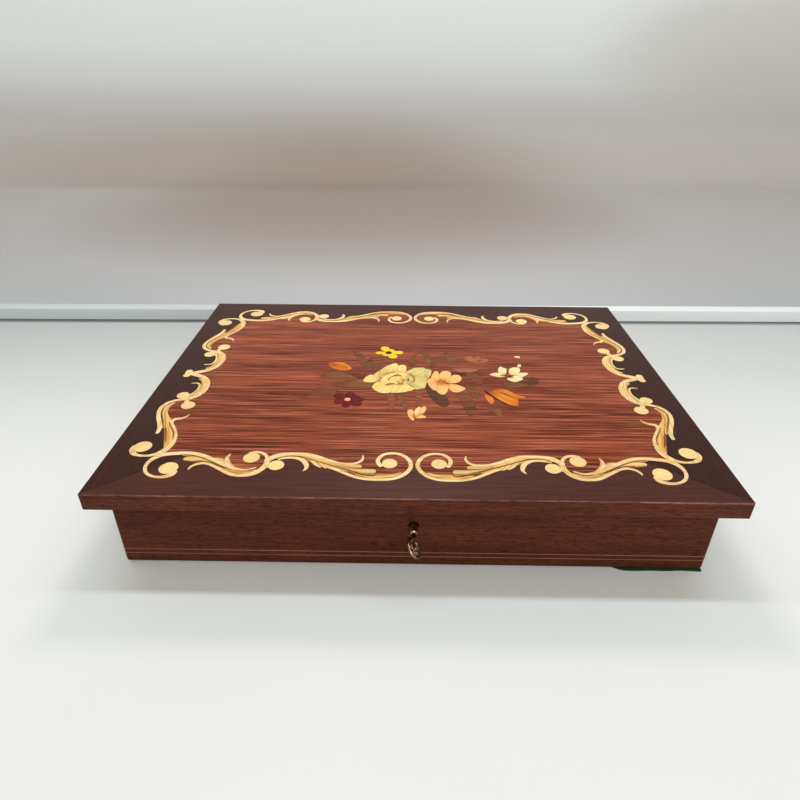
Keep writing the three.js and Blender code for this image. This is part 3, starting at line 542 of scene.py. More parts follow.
# Bouquet outlines: x from the lid's middle, y from its front edge, in millimetres, back to front.
SPRAYS = [
    ("leaf", [(-56, 206), (-50, 206), (-43, 194), (-38, 181), (-40, 173), (-46, 180), (-50, 193)]),
    ("leaf", [(-39, 194), (-33, 197), (-26, 194), (-20, 186), (-28, 185), (-35, 188)]),
    ("olive", [(-30, 196), (-24, 197), (-18, 191), (-12, 183), (-19, 183), (-26, 188)]),
    ("leaf", [(-40, 188), (-33, 184), (-26, 177), (-33, 173), (-39, 176), (-43, 183)]),
    ("olive", [(-79, 160), (-72, 167), (-63, 168), (-54, 162), (-46, 153), (-57, 150), (-67, 151), (-75, 155)]),
    ("leaf", [(-84, 125), (-82, 134), (-73, 141), (-62, 146), (-53, 152), (-54, 143), (-61, 134), (-72, 127)]),
    ("olive", [(-60, 146), (-50, 151), (-40, 148), (-33, 143), (-42, 140), (-52, 140)]),
    ("leaf", [(-4, 182), (-3, 192), (0, 203), (6, 211), (4, 203), (2, 192), (1, 180)]),
    ("olive", [(5, 211), (11, 208), (15, 198), (16, 188), (14, 177), (11, 186), (10, 196), (8, 203)]),
    ("leaf", [(15, 178), (17, 188), (22, 198), (30, 206), (28, 198), (23, 189), (19, 178)]),
    ("olive", [(29, 207), (35, 202), (38, 192), (36, 183), (31, 190), (29, 198)]),
    ("tan_leaf", [(-22, 133), (-21, 124), (-19, 114), (-18, 104), (-15, 113), (-15, 124), (-16, 133)]),
    ("olive", [(-14, 132), (-13, 122), (-9, 113), (-6, 105), (-5, 114), (-8, 124), (-9, 133)]),
    ("tan_leaf", [(0, 139), (1, 128), (2, 117), (3, 111), (6, 118), (7, 128), (5, 139)]),
    ("dark_leaf", [
        (9, 150), (13, 147), (18, 138), (25, 128), (28, 117), (24, 110), (18, 115), (13, 126), (10, 138)]),
    ("leaf", [(33, 137), (41, 134), (47, 124), (48, 110), (43, 96), (39, 108), (36, 124)]),
    ("olive", [(45, 147), (51, 141), (54, 131), (51, 122), (46, 131), (43, 140)]),
    ("leaf", [(47, 172), (53, 167), (58, 157), (56, 147), (49, 154), (45, 164)]),
    ("pale_leaf", [(34, 175), (42, 176), (50, 176), (56, 175), (54, 171), (46, 169), (37, 170)]),
    ("olive", [(62, 113), (65, 111), (68, 104), (66, 97), (62, 103)]),
    ("dark_leaf", [(90, 152), (96, 155), (99, 161), (104, 158), (104, 150), (98, 146), (92, 147)]),
    ("olive", [(72, 148), (78, 152), (88, 151), (94, 147), (86, 143), (78, 144)]),
    ("leaf", [(94, 180), (95, 188), (96, 197), (93.5, 197), (92.5, 189), (92, 181)]),
]
BLOSSOMS = [
    ("field_veneer", "tan", [(45.5, 197), (50, 200), (54, 198), (55, 191), (51, 188), (47, 191)]),
    ("field_veneer", "tan", [(54, 198), (58, 199.5), (62, 197), (61, 191), (56, 190)]),
    ("field_veneer", "tan", [(61, 198), (66, 195), (67, 191), (62, 187), (55, 186.5), (53, 189), (58, 192)]),
    ("orange_bud", "orange", [
        (-75, 182), (-70, 185), (-63, 184.5), (-57, 180), (-53.5, 174), (-56, 170.5), (-62, 169.5),
        (-69, 173), (-74, 178)]),
    ("orange_bud", "rust", [(-71, 180), (-66, 182), (-60, 178), (-57, 174), (-61, 173), (-67, 175)]),
    ("peach_bud", "peach", [(-5, 103), (-3.5, 106), (-0.5, 105), (0.5, 98), (0.5, 92), (-1.5, 91), (-4, 96)]),
    ("peach_bud", "peach", [(1, 95), (5, 98), (8.5, 97), (9, 94.5), (5, 93.5), (2, 93.5)]),
    ("peach_bud", "pale_peach", [(0, 100), (1, 106), (4, 110), (6, 108), (5, 102), (2.5, 96), (1, 96)]),
    ("peach_bud", "peach", [(5.5, 108), (8, 111), (9.8, 109), (8.5, 103), (5.5, 98), (4, 99)]),
    ("orange_lily", "amber", [(57.5, 134), (57, 128), (58.5, 121), (61, 116), (63.5, 120), (63, 126), (60.5, 131)]),
    ("orange_lily", "rust", [(72, 134), (79, 129), (83, 122), (81, 117), (77, 122)]),
    ("orange_lily", "orange", [
        (64, 137), (69, 140), (75, 139), (80, 134.5), (84, 130), (90, 127.5), (84, 126), (78, 128), (72, 132)]),
    ("orange_lily", "orange", [
        (60, 134), (64, 137), (69, 137), (74, 132), (79, 125), (82, 114), (77, 114.5), (72, 118),
        (66, 124), (61, 130)]),
    ("white_flower", "white", [(92, 184), (94.5, 184), (94, 180), (91, 179)]),
    ("white_flower", "white", [(91, 200.5), (96, 201), (96, 197.5), (93, 197)]),
    ("white_flower", "white", [
        (73, 167), (73.5, 175), (76, 180), (78.5, 177.5), (80.8, 176), (80, 169), (77, 163.5), (74, 164)]),
    ("white_flower", "white", [(65, 165), (69, 168), (73, 168), (77, 163.5), (77.5, 161), (73, 160.5), (69, 162)]),
    ("white_flower", "white", [
        (82, 168), (83, 175), (87, 178.5), (92, 178), (92.5, 173), (90, 168), (86.5, 164), (83, 165)]),
    ("white_flower", "white", [(87, 164), (91, 168.5), (98.5, 168), (95, 163), (91, 160.5), (87, 161)]),
    ("white_flower", "white", [
        (83, 160.5), (86.5, 163.5), (91, 161), (92.5, 157.5), (88, 153.5), (84.5, 152), (80.5, 154.5), (79, 158.5)]),
    ("peach_flower", "peach", [(14.5, 152), (15.5, 162), (18, 169), (21, 169), (22.3, 163), (22, 156), (19, 150)]),
    ("peach_flower", "peach", [
        (22, 158), (22.7, 166), (26, 170), (30, 170), (32.3, 166), (31, 160), (27.5, 153), (23, 152)]),
    ("peach_flower", "peach", [
        (27.5, 154), (31.5, 161), (35.5, 164), (39.5, 162), (40.5, 156), (37, 150.5), (31, 148.5), (27, 150)]),
    ("peach_flower", "peach", [
        (28, 147.5), (34, 147), (38, 145), (42.5, 140.5), (39.5, 136), (35, 133.5), (31, 135.5), (28.5, 141)]),
    ("peach_flower", "peach", [
        (20, 147), (27, 148), (28.5, 140), (27, 134), (24.5, 130), (21, 131), (18.3, 136), (18, 141)]),
    ("peach_flower", "peach", [(11.5, 153), (15, 157), (20, 152), (20, 145), (18.3, 137), (15.5, 138), (12.5, 145)]),
    ("rose", "rose_shadow", [
        (-34, 156), (-33, 164), (-28, 172), (-24, 178), (-20, 181), (-17, 171), (-21, 160), (-27, 152)]),
    ("rose", "rose", [(-42, 151), (-40.5, 158), (-36, 162.5), (-32, 159), (-29, 152), (-33, 149), (-39, 149)]),
    ("rose", "rose", [(-22.5, 168), (-23.5, 177), (-19.5, 182), (-15, 184), (-13, 179.5), (-13, 170), (-17, 166)]),
    ("rose", "rose", [(-13.5, 168), (-14, 177), (-10, 181.5), (-6.5, 179), (-6, 172), (-7, 166), (-11, 165)]),
    ("rose", "pale_green", [(8, 158), (9, 166), (10, 173), (14, 173.5), (15.5, 170), (14.5, 162), (11.5, 155)]),
    ("rose", "pale_green", [
        (-7, 161), (-7, 167), (-3, 172), (1, 175.5), (6, 176.5), (10, 175.5), (10, 168), (9, 160), (4, 156), (-1, 157)]),
    ("rose", "pale_green", [
        (-4, 156), (3, 160), (10, 160), (11.5, 154), (10.5, 146), (9, 140.5), (4, 138), (0, 139), (-4, 145), (-6, 151)]),
    ("rose", "rose", [(-19, 132.5), (-20, 141), (-13, 148), (-5, 147), (1, 141.5), (-1, 136.5), (-8, 133), (-14, 132)]),
    ("rose", "rose", [
        (-34, 140), (-32.5, 147), (-27, 150.5), (-20, 149), (-17, 143), (-18, 136), (-19.5, 132), (-25, 131), (-30, 134)]),
    ("rose", "rose_shadow", [
        (-28, 150), (-27.5, 158), (-23, 165), (-16, 168), (-8, 167), (-3, 161), (-1, 155), (-4, 149), (-9, 146),
        (-16, 144.5), (-23, 146)]),
    ("rose", "pale_green", [(-9, 148), (-8, 157), (-5, 162), (-1.5, 159), (-0.5, 154), (-3, 149), (-6, 146.5)]),
    ("rose", "rose", [(-26, 151), (-26, 158), (-21, 164.5), (-14, 166), (-15, 160), (-18, 153), (-21, 148.5)]),
    ("rose", "rose", [(-16, 158), (-13.5, 165), (-8.5, 164.5), (-6, 159), (-8, 155), (-12, 157)]),
    ("rose", "rose", [(-19.5, 149), (-20, 156), (-15, 160), (-10, 156.5), (-9, 151), (-13, 147.5), (-17, 147)]),
]
# The heart that each blossom's petals are shaded towards.
HEARTS = {
    "rose": (-12, 153),
    "peach_flower": (23.5, 149.5),
    "white_flower": (81, 162.5),
    "orange_lily": (59, 137),
    "peach_bud": (0, 96),
    "orange_bud": (-76, 179),
}
# Dark seams and stamens drawn over the blossoms, as strands: node, wood, points.
SEAMS = [
    ("rose", "seam", [(-23, 144.3, 0.5), (-20, 146.2, 1.4), (-16, 147.4, 0.6)]),
    ("rose", "seam", [(-25, 161.5, 0.3), (-20.5, 165.8, 0.6), (-15, 167.2, 0.3)]),
    ("rose", "seam", [(-18, 159.2, 0.4), (-14, 162, 1.4), (-10, 160, 0.6)]),
    ("rose", "seam", [(-12, 147, 0.3), (-12.4, 150, 0.5), (-14.5, 152, 0.3)]),
    ("rose", "seam", [(-5, 150, 0.3), (-4.2, 153.4, 0.8), (-4.4, 157, 0.3)]),
    ("rose", "seam", [(-0.4, 149.5, 0.3), (0.8, 155, 0.5), (-0.4, 160, 0.5), (-3, 164.5, 0.3)]),
    ("rose", "seam", [(-5.6, 147.4, 0.3), (-2.4, 144, 0.5), (0.6, 141, 0.3)]),
    ("rose", "seam", [(-21, 152, 0.2), (-20.6, 156, 0.4), (-18, 160, 0.2)]),
    ("rose", "seam", [(-29, 152, 0.2), (-27.6, 155, 0.4), (-27.4, 159, 0.2)]),
    ("white_flower", "umber", [(74, 163.4, 0.3), (77, 163.8, 0.7), (79.6, 163, 0.3)]),
    ("white_flower", "umber", [(80, 162.2, 0.3), (82.4, 161.6, 0.8), (84.6, 160.2, 0.3)]),
    ("peach_flower", "orange", [(23, 144.5, 0.2), (23, 150, 1), (23.4, 157, 0.2)]),
    ("peach_flower", "orange", [(19.5, 145, 0.2), (21.6, 149.6, 0.8), (22, 156, 0.2)]),
    ("peach_flower", "orange", [(26.8, 145.4, 0.2), (24.8, 150, 0.8), (26.2, 156, 0.2)]),
    ("peach_flower", "orange", [(17, 151, 0.2), (21, 150, 0.7), (24, 149.6, 0.8), (29.5, 149.4, 0.2)]),
    ("orange_lily", "umber", [(57.6, 136.6, 0.6), (60, 132.4, 1.3), (66, 123.6, 0.8), (73, 115.6, 0.8)]),
    ("orange_lily", "umber", [(69, 135, 0.2), (74, 131, 0.6), (80, 125.4, 0.2)]),
    ("peach_bud", "rust", [(0.2, 93.5, 0.2), (0.2, 97, 0.4), (-0.4, 101, 0.2)]),
    ("field_veneer", "umber", [(56, 190.6, 0.2), (58.4, 190, 0.7), (61, 191, 0.2)]),
]
# Round flowers: node, centre, wood, eye wood, eye radius, and petals as angle, length, width.
FLOWERS = {
    "yellow_flower": ((-22.5, 205), "yellow", "umber", 2.9, [
        (62, 8, 7.5), (225, 7, 8), (112, 14, 8), (4, 13.5, 6.5), (-60, 12.5, 8.5), (182, 12, 6)]),
    "crimson_flower": ((-52.5, 120.5), "crimson", "salmon", 2.6, [
        (30, 10.5, 7), (186, 9.5, 8), (140, 13.5, 9.5), (78, 11, 9), (-2, 13.5, 7.5), (-40, 14.5, 8),
        (-92, 12.5, 7), (-150, 11.5, 8)]),
}
# A petal's outline: along its length and across its width, both as shares.
PETAL = [(0.05, 0.12), (0.35, 0.36), (0.7, 0.5), (0.93, 0.3), (1, 0), (0.93, -0.3), (0.7, -0.5), (0.35, -0.36), (0.05, -0.12)]

CURVE_STEPS = 5
# How light each border veneer is: front, right, back and left.
BORDER_TONES = (0.82, 0.46, 0.6, 0.48)
GLUE_LINE = 0.16 * MM
SKIRT = 0.5 * MM


def smooth(points, closed, steps=CURVE_STEPS):
    """A curve through all the points, with as many numbers in each as they have."""
    count = len(points)
    spans = count if closed else count - 1
    curve = []
    for span in range(spans):
        if closed:
            a, b, c, d = (points[(span + k) % count] for k in (-1, 0, 1, 2))
        else:
            a, b, c, d = (points[min(max(span + k, 0), count - 1)] for k in (-1, 0, 1, 2))
        for step in range(steps):
            t = step / steps
            curve.append(tuple(
                0.5 * (2 * q + (r - p) * t + (2 * p - 5 * q + 4 * r - s) * t**2 + (3 * q - p - 3 * r + s) * t**3)
                for p, q, r, s in zip(a, b, c, d)
            ))
    if not closed:
        curve.append(tuple(points[-1]))
    return curve


def band_outline(path):
    """The outline of a band along a path of (x, y, half width), round at its wide ends."""
    left, right = [], []
    for index, (x, y, half) in enumerate(path):
        before = path[max(index - 1, 0)]
        after = path[min(index + 1, len(path) - 1)]
        run = math.hypot(after[0] - before[0], after[1] - before[1]) or 1.0
        across = (-(after[1] - before[1]) / run * half, (after[0] - before[0]) / run * half)
        left.append((x + across[0], y + across[1]))
        right.append((x - across[0], y - across[1]))

    def round_end(start, centre):
        radius = centre[2]
        if radius < 0.7 * MM:
            return []
        first = math.atan2(start[1] - centre[1], start[0] - centre[0])
        turns = [first - math.pi * k / 5 for k in (1, 2, 3, 4)]
        return [(centre[0] + radius * math.cos(t), centre[1] + radius * math.sin(t)) for t in turns]

    return left + round_end(left[-1], path[-1]) + right[::-1] + round_end(right[0], path[0])


def circle(x, y, radius, count=28):
    turns = [2 * math.pi * k / count for k in range(count)]
    return [(x + radius * math.cos(t), y + radius * math.sin(t)) for t in turns]


class Piece:
    """One piece of veneer: the node it belongs to, its wood, its outline, and its looks."""

    def __init__(self, node, wood, outline, scorch=None, grain=None, tone=None):
        self.node = node
        self.wood = wood
        self.outline = outline
        self.scorch = scorch or (lambda x, y: 0.0)
        self.grain = random.uniform(0, math.pi) if grain is None else grain
        self.tone = random.uniform(0.94, 1.06) if tone is None else tone


def side_scorch(path, side):
    """Scorched towards one side of a band."""
    if side == NEITHER:
        return None
    line = np.array(path)
    ahead = np.gradient(line[:, :2], axis=0)
    ahead /= np.linalg.norm(ahead, axis=1, keepdims=True) + 1e-12

    def scorch(x, y):
        apart = np.array([x, y]) - line[:, :2]
        nearest = int(np.argmin((apart**2).sum(axis=1)))
        across = ahead[nearest, 0] * apart[nearest, 1] - ahead[nearest, 1] * apart[nearest, 0]
        return float(np.clip(0.5 + 0.5 * side * across / line[nearest, 2], 0, 1)) * 0.85

    return scorch


def from_middle(x, y, reach, strength=0.9):
    """Scorched round a middle point and clear at the given reach."""
    return lambda px, py: strength * max(0.0, 1 - math.hypot(px - x, py - y) / reach)


def lid_point(x, y):
    """From millimetres measured from the lid's left and front edges to the frame."""
    return lid_low.x + x * MM, lid_low.y + y * MM


def scroll_pieces():
    pieces = []
    for mirror_x, mirror_y in ((1, 1), (-1, 1), (1, -1), (-1, -1)):
        def placed(x, y):
            u, v = lid_point(x, y)
            return u * mirror_x, v * mirror_y

        def node_for(x, y):
            if y < 50 and x > 30:
                return "scroll_front" if mirror_y > 0 else "scroll_back"
            return "scroll_left" if mirror_x > 0 else "scroll_right"

        for wood, side, points in STRANDS:
            path = [(*placed(x, y), half * MM) for x, y, half in smooth(points, False)]
            node = node_for(*points[len(points) // 2][:2])
            turned = side * mirror_x * mirror_y
            grain = math.atan2(path[-1][1] - path[0][1], path[-1][0] - path[0][0])
            pieces.append(Piece(node, wood, band_outline(path), side_scorch(path, turned), grain))
        for x, y, radius in EYES:
            u, v = placed(x, y)
            lit = from_middle(u - 0.8 * radius * MM * mirror_x, v + 0.5 * radius * MM * mirror_y, 1.3 * radius * MM, 0.7)
            pieces.append(Piece(node_for(x, y), "eye", circle(u, v, radius * MM), lit))
        for x, y, radius in JOINERS:
            pieces.append(Piece(node_for(x, y), "cream", circle(*placed(x, y), radius * MM, 16)))
    return pieces


def flower_pieces():
    pieces = []

    def add_blob(node, wood, points, scorch, grain=None):
        outline = [(x * MM, lid_low.y + y * MM) for x, y in smooth(points, True)]
        heart = HEARTS.get(node, points[0])
        middle = heart[0] * MM, lid_low.y + heart[1] * MM
        foot = min(outline, key=lambda point: math.dist(middle, point))
        far = max(outline, key=lambda point: math.dist(foot, point))
        shade = from_middle(*foot, 0.8 * math.dist(foot, far), scorch)
        along = math.atan2(far[1] - foot[1], far[0] - foot[0]) if grain is None else grain
        pieces.append(Piece(node, wood, outline, shade, along))

    for wood, points in SPRAYS:
        add_blob("field_veneer", wood, points, 0.7, random.uniform(-0.25, 0.25))
    for node, wood, points in BLOSSOMS:
        add_blob(node, wood, points, 0.95)
    for node, (centre, wood, eye_wood, eye_radius, petals) in FLOWERS.items():
        x, y = centre[0] * MM, lid_low.y + centre[1] * MM
        for angle, length, width in petals:
            turn = math.radians(angle)
            outline = [
                (
                    x + (a * length * math.cos(turn) - b * width * math.sin(turn)) * MM,
                    y + (a * length * math.sin(turn) + b * width * math.cos(turn)) * MM,
                )
                for a, b in smooth(PETAL, True, 3)
            ]
            pieces.append(Piece(node, wood, outline, from_middle(x, y, 0.75 * length * MM), turn))
        pieces.append(Piece(node, eye_wood, circle(x, y, eye_radius * MM, 16)))
    for node, wood, points in SEAMS:
        path = [(x * MM, lid_low.y + y * MM, half * MM) for x, y, half in smooth(points, False)]
        pieces.append(Piece(node, wood, band_outline(path)))
    return pieces


def ground_pieces():
    """The four mitred border veneers, front first, then the field inside the seam."""
    low = (lid_low.x + ARRIS, lid_low.y + ARRIS)
    high = (lid_high.x - ARRIS, lid_high.y - ARRIS)
    corners = [low, (high[0], low[1]), high, (low[0], high[1])]
    inner = [(x * 0.6, y * 0.6) for x, y in corners]
    pieces = []
    for k, tone in enumerate(BORDER_TONES):
        outline = [corners[k], corners[(k + 1) % 4], inner[(k + 1) % 4], inner[k]]
        pieces.append(Piece("border_veneer", "border", outline, grain=(k % 2) * math.pi / 2, tone=tone))
    quarter = [lid_point(x, y) for x, y in SEAM]
    half = quarter + [(-x, y) for x, y in reversed(quarter[:-1])]
    whole = half + [(x, -y) for x, y in reversed(half[1:-1])]
    pieces.append(Piece("field_veneer", "field", whole, grain=0.0, tone=1.0))
    return pieces


# ---------------------------------------------------------------------------
# Marquetry: fitting the pieces together
# ---------------------------------------------------------------------------
def inside(outline, points):
    """Which points lie inside an outline, by winding number."""
    ring = np.array(outline)
    following = np.roll(ring, -1, axis=0)
    winding = np.zeros(len(points), int)
    for (x0, y0), (x1, y1) in zip(ring, following):
        side = (x1 - x0) * (points[:, 1] - y0) - (points[:, 0] - x0) * (y1 - y0)
        winding += (y0 <= points[:, 1]) & (y1 > points[:, 1]) & (side > 0)
        winding -= (y0 > points[:, 1]) & (y1 <= points[:, 1]) & (side < 0)
    return winding != 0


def fit_together(pieces):
    """Cuts the lid's plane along every outline, and gives each triangle to the topmost piece."""
    points, edges = [], []
    for piece in pieces:
        start, count = len(points), len(piece.outline)
        points += [Vector(point) for point in piece.outline]
        edges += [(start + k, start + (k + 1) % count) for k in range(count)]
    points, _, triangles, *_ = delaunay_2d_cdt(points, edges, [], 0, 1e-6, False)
    points = np.array([(point.x, point.y) for point in points])
    triangles = np.array([tuple(triangle) for triangle in triangles])
    middles = points[triangles].mean(axis=1)
    owner = np.full(len(triangles), -1)
    for number, piece in enumerate(pieces):
        ring = np.array(piece.outline)
        near = np.all((middles >= ring.min(axis=0)) & (middles <= ring.max(axis=0)), axis=1)
        candidates = np.flatnonzero(near)
        owner[candidates[inside(piece.outline, middles[candidates])]] = number
    return points, triangles, owner


def add_veneer(bm, piece, number, points, triangles, material_index):
    """Adds one piece to a bmesh: its top, drawn in by half a glue line, and its sides."""
    uv = bm.loops.layers.uv.verify()
    cut = bm.verts.layers.float_color["cut"]
    used = sorted(set(triangles.ravel()))
    outward = {k: np.zeros(2) for k in used}
    rim = {}
    for triangle in triangles:
        for k in range(3):
            a, b = triangle[k], triangle[(k + 1) % 3]
            if rim.pop((b, a), None) is None:
                rim[(a, b)] = True
    for a, b in rim:
        along = points[b] - points[a]
        normal = np.array([along[1], -along[0]]) / (np.linalg.norm(along) + 1e-12)
        outward[a] += normal
        outward[b] += normal
    height = lid_high.z - (number % 7) * 0.004 * MM
    cos, sin = math.cos(piece.grain), math.sin(piece.grain)
    shift = random.uniform(0, 3), random.uniform(0, 3)

    def vertex(k, z, shade):
        length = np.linalg.norm(outward[k])
        x, y = points[k] - (outward[k] / length * GLUE_LINE / 2 if length > 1e-9 else 0)
        made = bm.verts.new((x, y, z))
        made[cut] = (piece.scorch(x, y), piece.tone * shade, 0, 1)
        return made

    top = {k: vertex(k, height, 1) for k in used}
    # Painted shade: each piece's sides darken to 0.3 at their foot, down into the glue line.
    foot = {k: vertex(k, height - SKIRT, 0.3) for pair in rim for k in pair}
    faces = [[top[k] for k in triangle] for triangle in triangles]
    faces += [[top[b], top[a], foot[a], foot[b]] for a, b in rim]
    for corners in faces:
        face = bm.faces.new(corners)
        face.material_index = material_index
        for loop in face.loops:
            x, y, _ = loop.vert.co
            loop[uv].uv = (x * cos + y * sin + shift[0], y * cos - x * sin + shift[1])


MARQUETRY_SLOTS = {
    "border_veneer": "border_veneer",
    "field_veneer": "field_veneer",
    "scroll_front": "scroll_veneer",
    "scroll_back": "scroll_veneer",
    "scroll_left": "scroll_veneer",
    "scroll_right": "scroll_veneer",
    "rose": "cream_veneer",
    "yellow_flower": "yellow_veneer",
    "orange_bud": "orange_veneer",
    "orange_lily": "orange_veneer",
    "crimson_flower": "crimson_veneer",
    "peach_flower": "peach_veneer",
    "peach_bud": "peach_veneer",
    "white_flower": "white_veneer",
}


def build_marquetry():
    pieces = ground_pieces() + scroll_pieces() + flower_pieces()
    points, triangles, owner = fit_together(pieces)
    for node, slot in MARQUETRY_SLOTS.items():
        mine = [number for number, piece in enumerate(pieces) if piece.node == node]
        woods = sorted({pieces[number].wood for number in mine})
        bm = bmesh.new()
        bm.verts.layers.float_color.new("cut")
        for number in mine:
            shown = triangles[owner == number]
            if len(shown):
                add_veneer(bm, pieces[number], number, points, shown, woods.index(pieces[number].wood))
        made = mesh_object("inlay_" + node, bm, [veneers[wood] for wood in woods])
        place(made, "lid", slot, node)
    bed = bmesh.new()
    margin = 2 * ARRIS
    level = lid_high.z - SKIRT
    add_box(
        bed,
        (lid_low.x + margin, lid_low.y + margin, level - 0.1 * MM),
        (lid_high.x - margin, lid_high.y - margin, level + 0.05 * MM),
    )
    place(mesh_object("glue_bed", bed, [veneers["umber"]]), "lid", "board_wood")


# ---------------------------------------------------------------------------
# Mitred frames: walls, inlaid lines and the edges of the lid
# ---------------------------------------------------------------------------
SIDES = ("front", "right", "back", "left")


def quarter_arc(centre, radius, first, steps=3):
    """Points of a quarter turn in a section, clockwise, from an angle in degrees."""
    turns = [math.radians(first - 90 * k / steps) for k in range(steps + 1)]
    return [(centre[0] + radius * math.cos(t), centre[1] + radius * math.sin(t)) for t in turns]


def mitred_side(name, side, half_x, half_y, corner, section, material, smooth_angle=35):
    """One side of a mitred frame. The section is (depth in from the outer face, height) pairs,
    carried from mitre to mitre round the frame's softened corners."""
    number = SIDES.index(side)
    along, out = (half_x, half_y) if number % 2 == 0 else (half_y, half_x)
    bends = [math.pi / 4 * k / 3 for k in range(4)]
    stations = [(-1, bend) for bend in reversed(bends)] + [(1, bend) for bend in bends]
    turn = Matrix.Rotation(number * math.pi / 2, 4, "Z")
    bm = bmesh.new()
    rings = []
    for end, bend in stations:
        ring = []
        for depth, z in section:
            reach = max(corner - depth, 0)
            inset = max(corner, depth)
            s = end * (along - inset + reach * math.sin(bend))
            d = out - inset + reach * math.cos(bend)
            ring.append(bm.verts.new(turn @ Vector((s, -d, z))))
        rings.append(ring)
    for ring, following in zip(rings, rings[1:]):
        for a in range(len(section)):
            b = (a + 1) % len(section)
            bm.faces.new([ring[a], ring[b], following[b], following[a]])
    bm.faces.new(rings[0][::-1])
    bm.faces.new(rings[-1])
    bmesh.ops.remove_doubles(bm, verts=bm.verts, dist=1e-7)
    made = mesh_object(name, bm, [material])
    made.data.shade_smooth()
    made.data.set_sharp_from_angle(angle=math.radians(smooth_angle))
    return made


CORNER = 2.4 * MM
WALL_FOOT_ARRIS = 1 * MM
WALL_ARRIS = 0.5 * MM
ARRIS = 0.35 * MM
GAP = 0.3 * MM


def build_walls():
    lines = [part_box("lower_line_front"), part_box("upper_line_front")]
    panel_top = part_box("bottom_panel")[1].z
    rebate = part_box("bottom_panel")[0].x - wall_low.x
    foot, rim = wall_low.z, wall_high.z
    section = quarter_arc((WALL_FOOT_ARRIS, foot + WALL_FOOT_ARRIS), WALL_FOOT_ARRIS, 270)
    for low, high in lines:
        section += [(0, low.z), (line_depth, low.z), (line_depth, high.z), (0, high.z)]
    section += quarter_arc((WALL_ARRIS, rim - WALL_ARRIS), WALL_ARRIS, 180)
    section += quarter_arc((wall - WALL_ARRIS, rim - WALL_ARRIS), WALL_ARRIS, 90)
    section += [(wall, panel_top), (rebate, panel_top), (rebate, foot)]
    cutters = {"front": front_cutters, "back": back_cutters}
    for side in SIDES:
        wood = wall_wood["x" if side in ("front", "back") else "y"]
        made = mitred_side("wall_" + side, side, wall_high.x, wall_high.y, CORNER, section, wood)
        if side in cutters:
            cut_away(made, cutters[side]())
            made.data.set_sharp_from_angle(angle=math.radians(35))
        place(made, "case", "wall_wood", side + "_wall")
    for node in ("lower_line", "upper_line"):
        low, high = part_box(node + "_front")
        strip = [(0, low.z), (0, high.z), (line_depth, high.z), (line_depth, low.z)]
        for side in SIDES:
            made = mitred_side(
                "strip_" + node + "_" + side, side, wall_high.x, wall_high.y, CORNER, strip, line_wood,
            )
            place(made, "case", "line_wood", node + "_" + side)


def front_cutters():
    """The keyhole, and the lock's mortise and recesses, out of the front wall."""
    bm = bmesh.new()
    plate_low, plate_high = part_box("lock_plate")
    cap_low, cap_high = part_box("lock_cap")
    pin_low, pin_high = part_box("drill_pin")
    axis = (pin_low.z + pin_high.z) / 2
    beyond = 2 * MM
    plate = 1.5 * MM
    hole = 3.5 * MM
    slot_half, slot_reach = 1.5 * MM, 8.1 * MM
    front, back, over = wall_low.y - beyond, plate_high.y + beyond, plate_high.z + beyond
    add_turned(bm, [(0, 0), (0, hole), (back - front, hole), (back - front, 0)], (0, front, axis), (0, 1, 0))
    add_box(bm, (-slot_half, front, axis - slot_reach), (slot_half, back, axis))
    add_box(bm, (cap_low.x - GAP, cap_low.y, cap_low.z - GAP), (cap_high.x + GAP, back, over))
    left, right = plate_low.x - GAP, plate_high.x + GAP
    add_box(bm, (left, plate_high.y - plate, plate_low.z - GAP), (right, back, over))
    add_box(bm, (left, plate_low.y, plate_high.z - plate), (right, back, over))
    return bm


def back_cutters():
    """The gains for the hinges, out of the back wall."""
    bm = bmesh.new()
    beyond = 2 * MM
    for side in ("left", "right"):
        low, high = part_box("hinge_case_leaf_" + side)
        leaf_foot = wall_high.z - 1 * MM
        add_box(bm, (low.x, low.y, leaf_foot), (high.x, wall_high.y + beyond, wall_high.z + beyond))
    return bm


def build_lid_edges():
    """Solid lippings under the veneer, and the veneer's own rounded arris, in a paler mahogany."""
    foot, top = lid_foot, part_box("lid_edge_front")[1].z
    radius = 0.6 * MM
    lipping_section = quarter_arc((radius, foot + radius), radius, 270)
    lipping_section += [(0, top), (lipping, top), (lipping, foot)]
    arris_section = [(0, top)] + quarter_arc((ARRIS, lid_high.z - ARRIS), ARRIS, 180, 4)
    arris_section += [(ARRIS + GAP, lid_high.z - 0.1 * MM), (ARRIS + GAP, top)]
    for side in SIDES:
        axis = "x" if side in ("front", "back") else "y"
        made = mitred_side("lipping_" + side, side, lid_high.x, lid_high.y, 0.9 * MM, lipping_section, edge_wood[axis])
        place(made, "lid", "edge_wood", "lid_edge_" + side)
        made = mitred_side("arris_" + side, side, lid_high.x, lid_high.y, 0.9 * MM, arris_section, arris_wood[axis])
        place(made, "lid", "border_veneer")


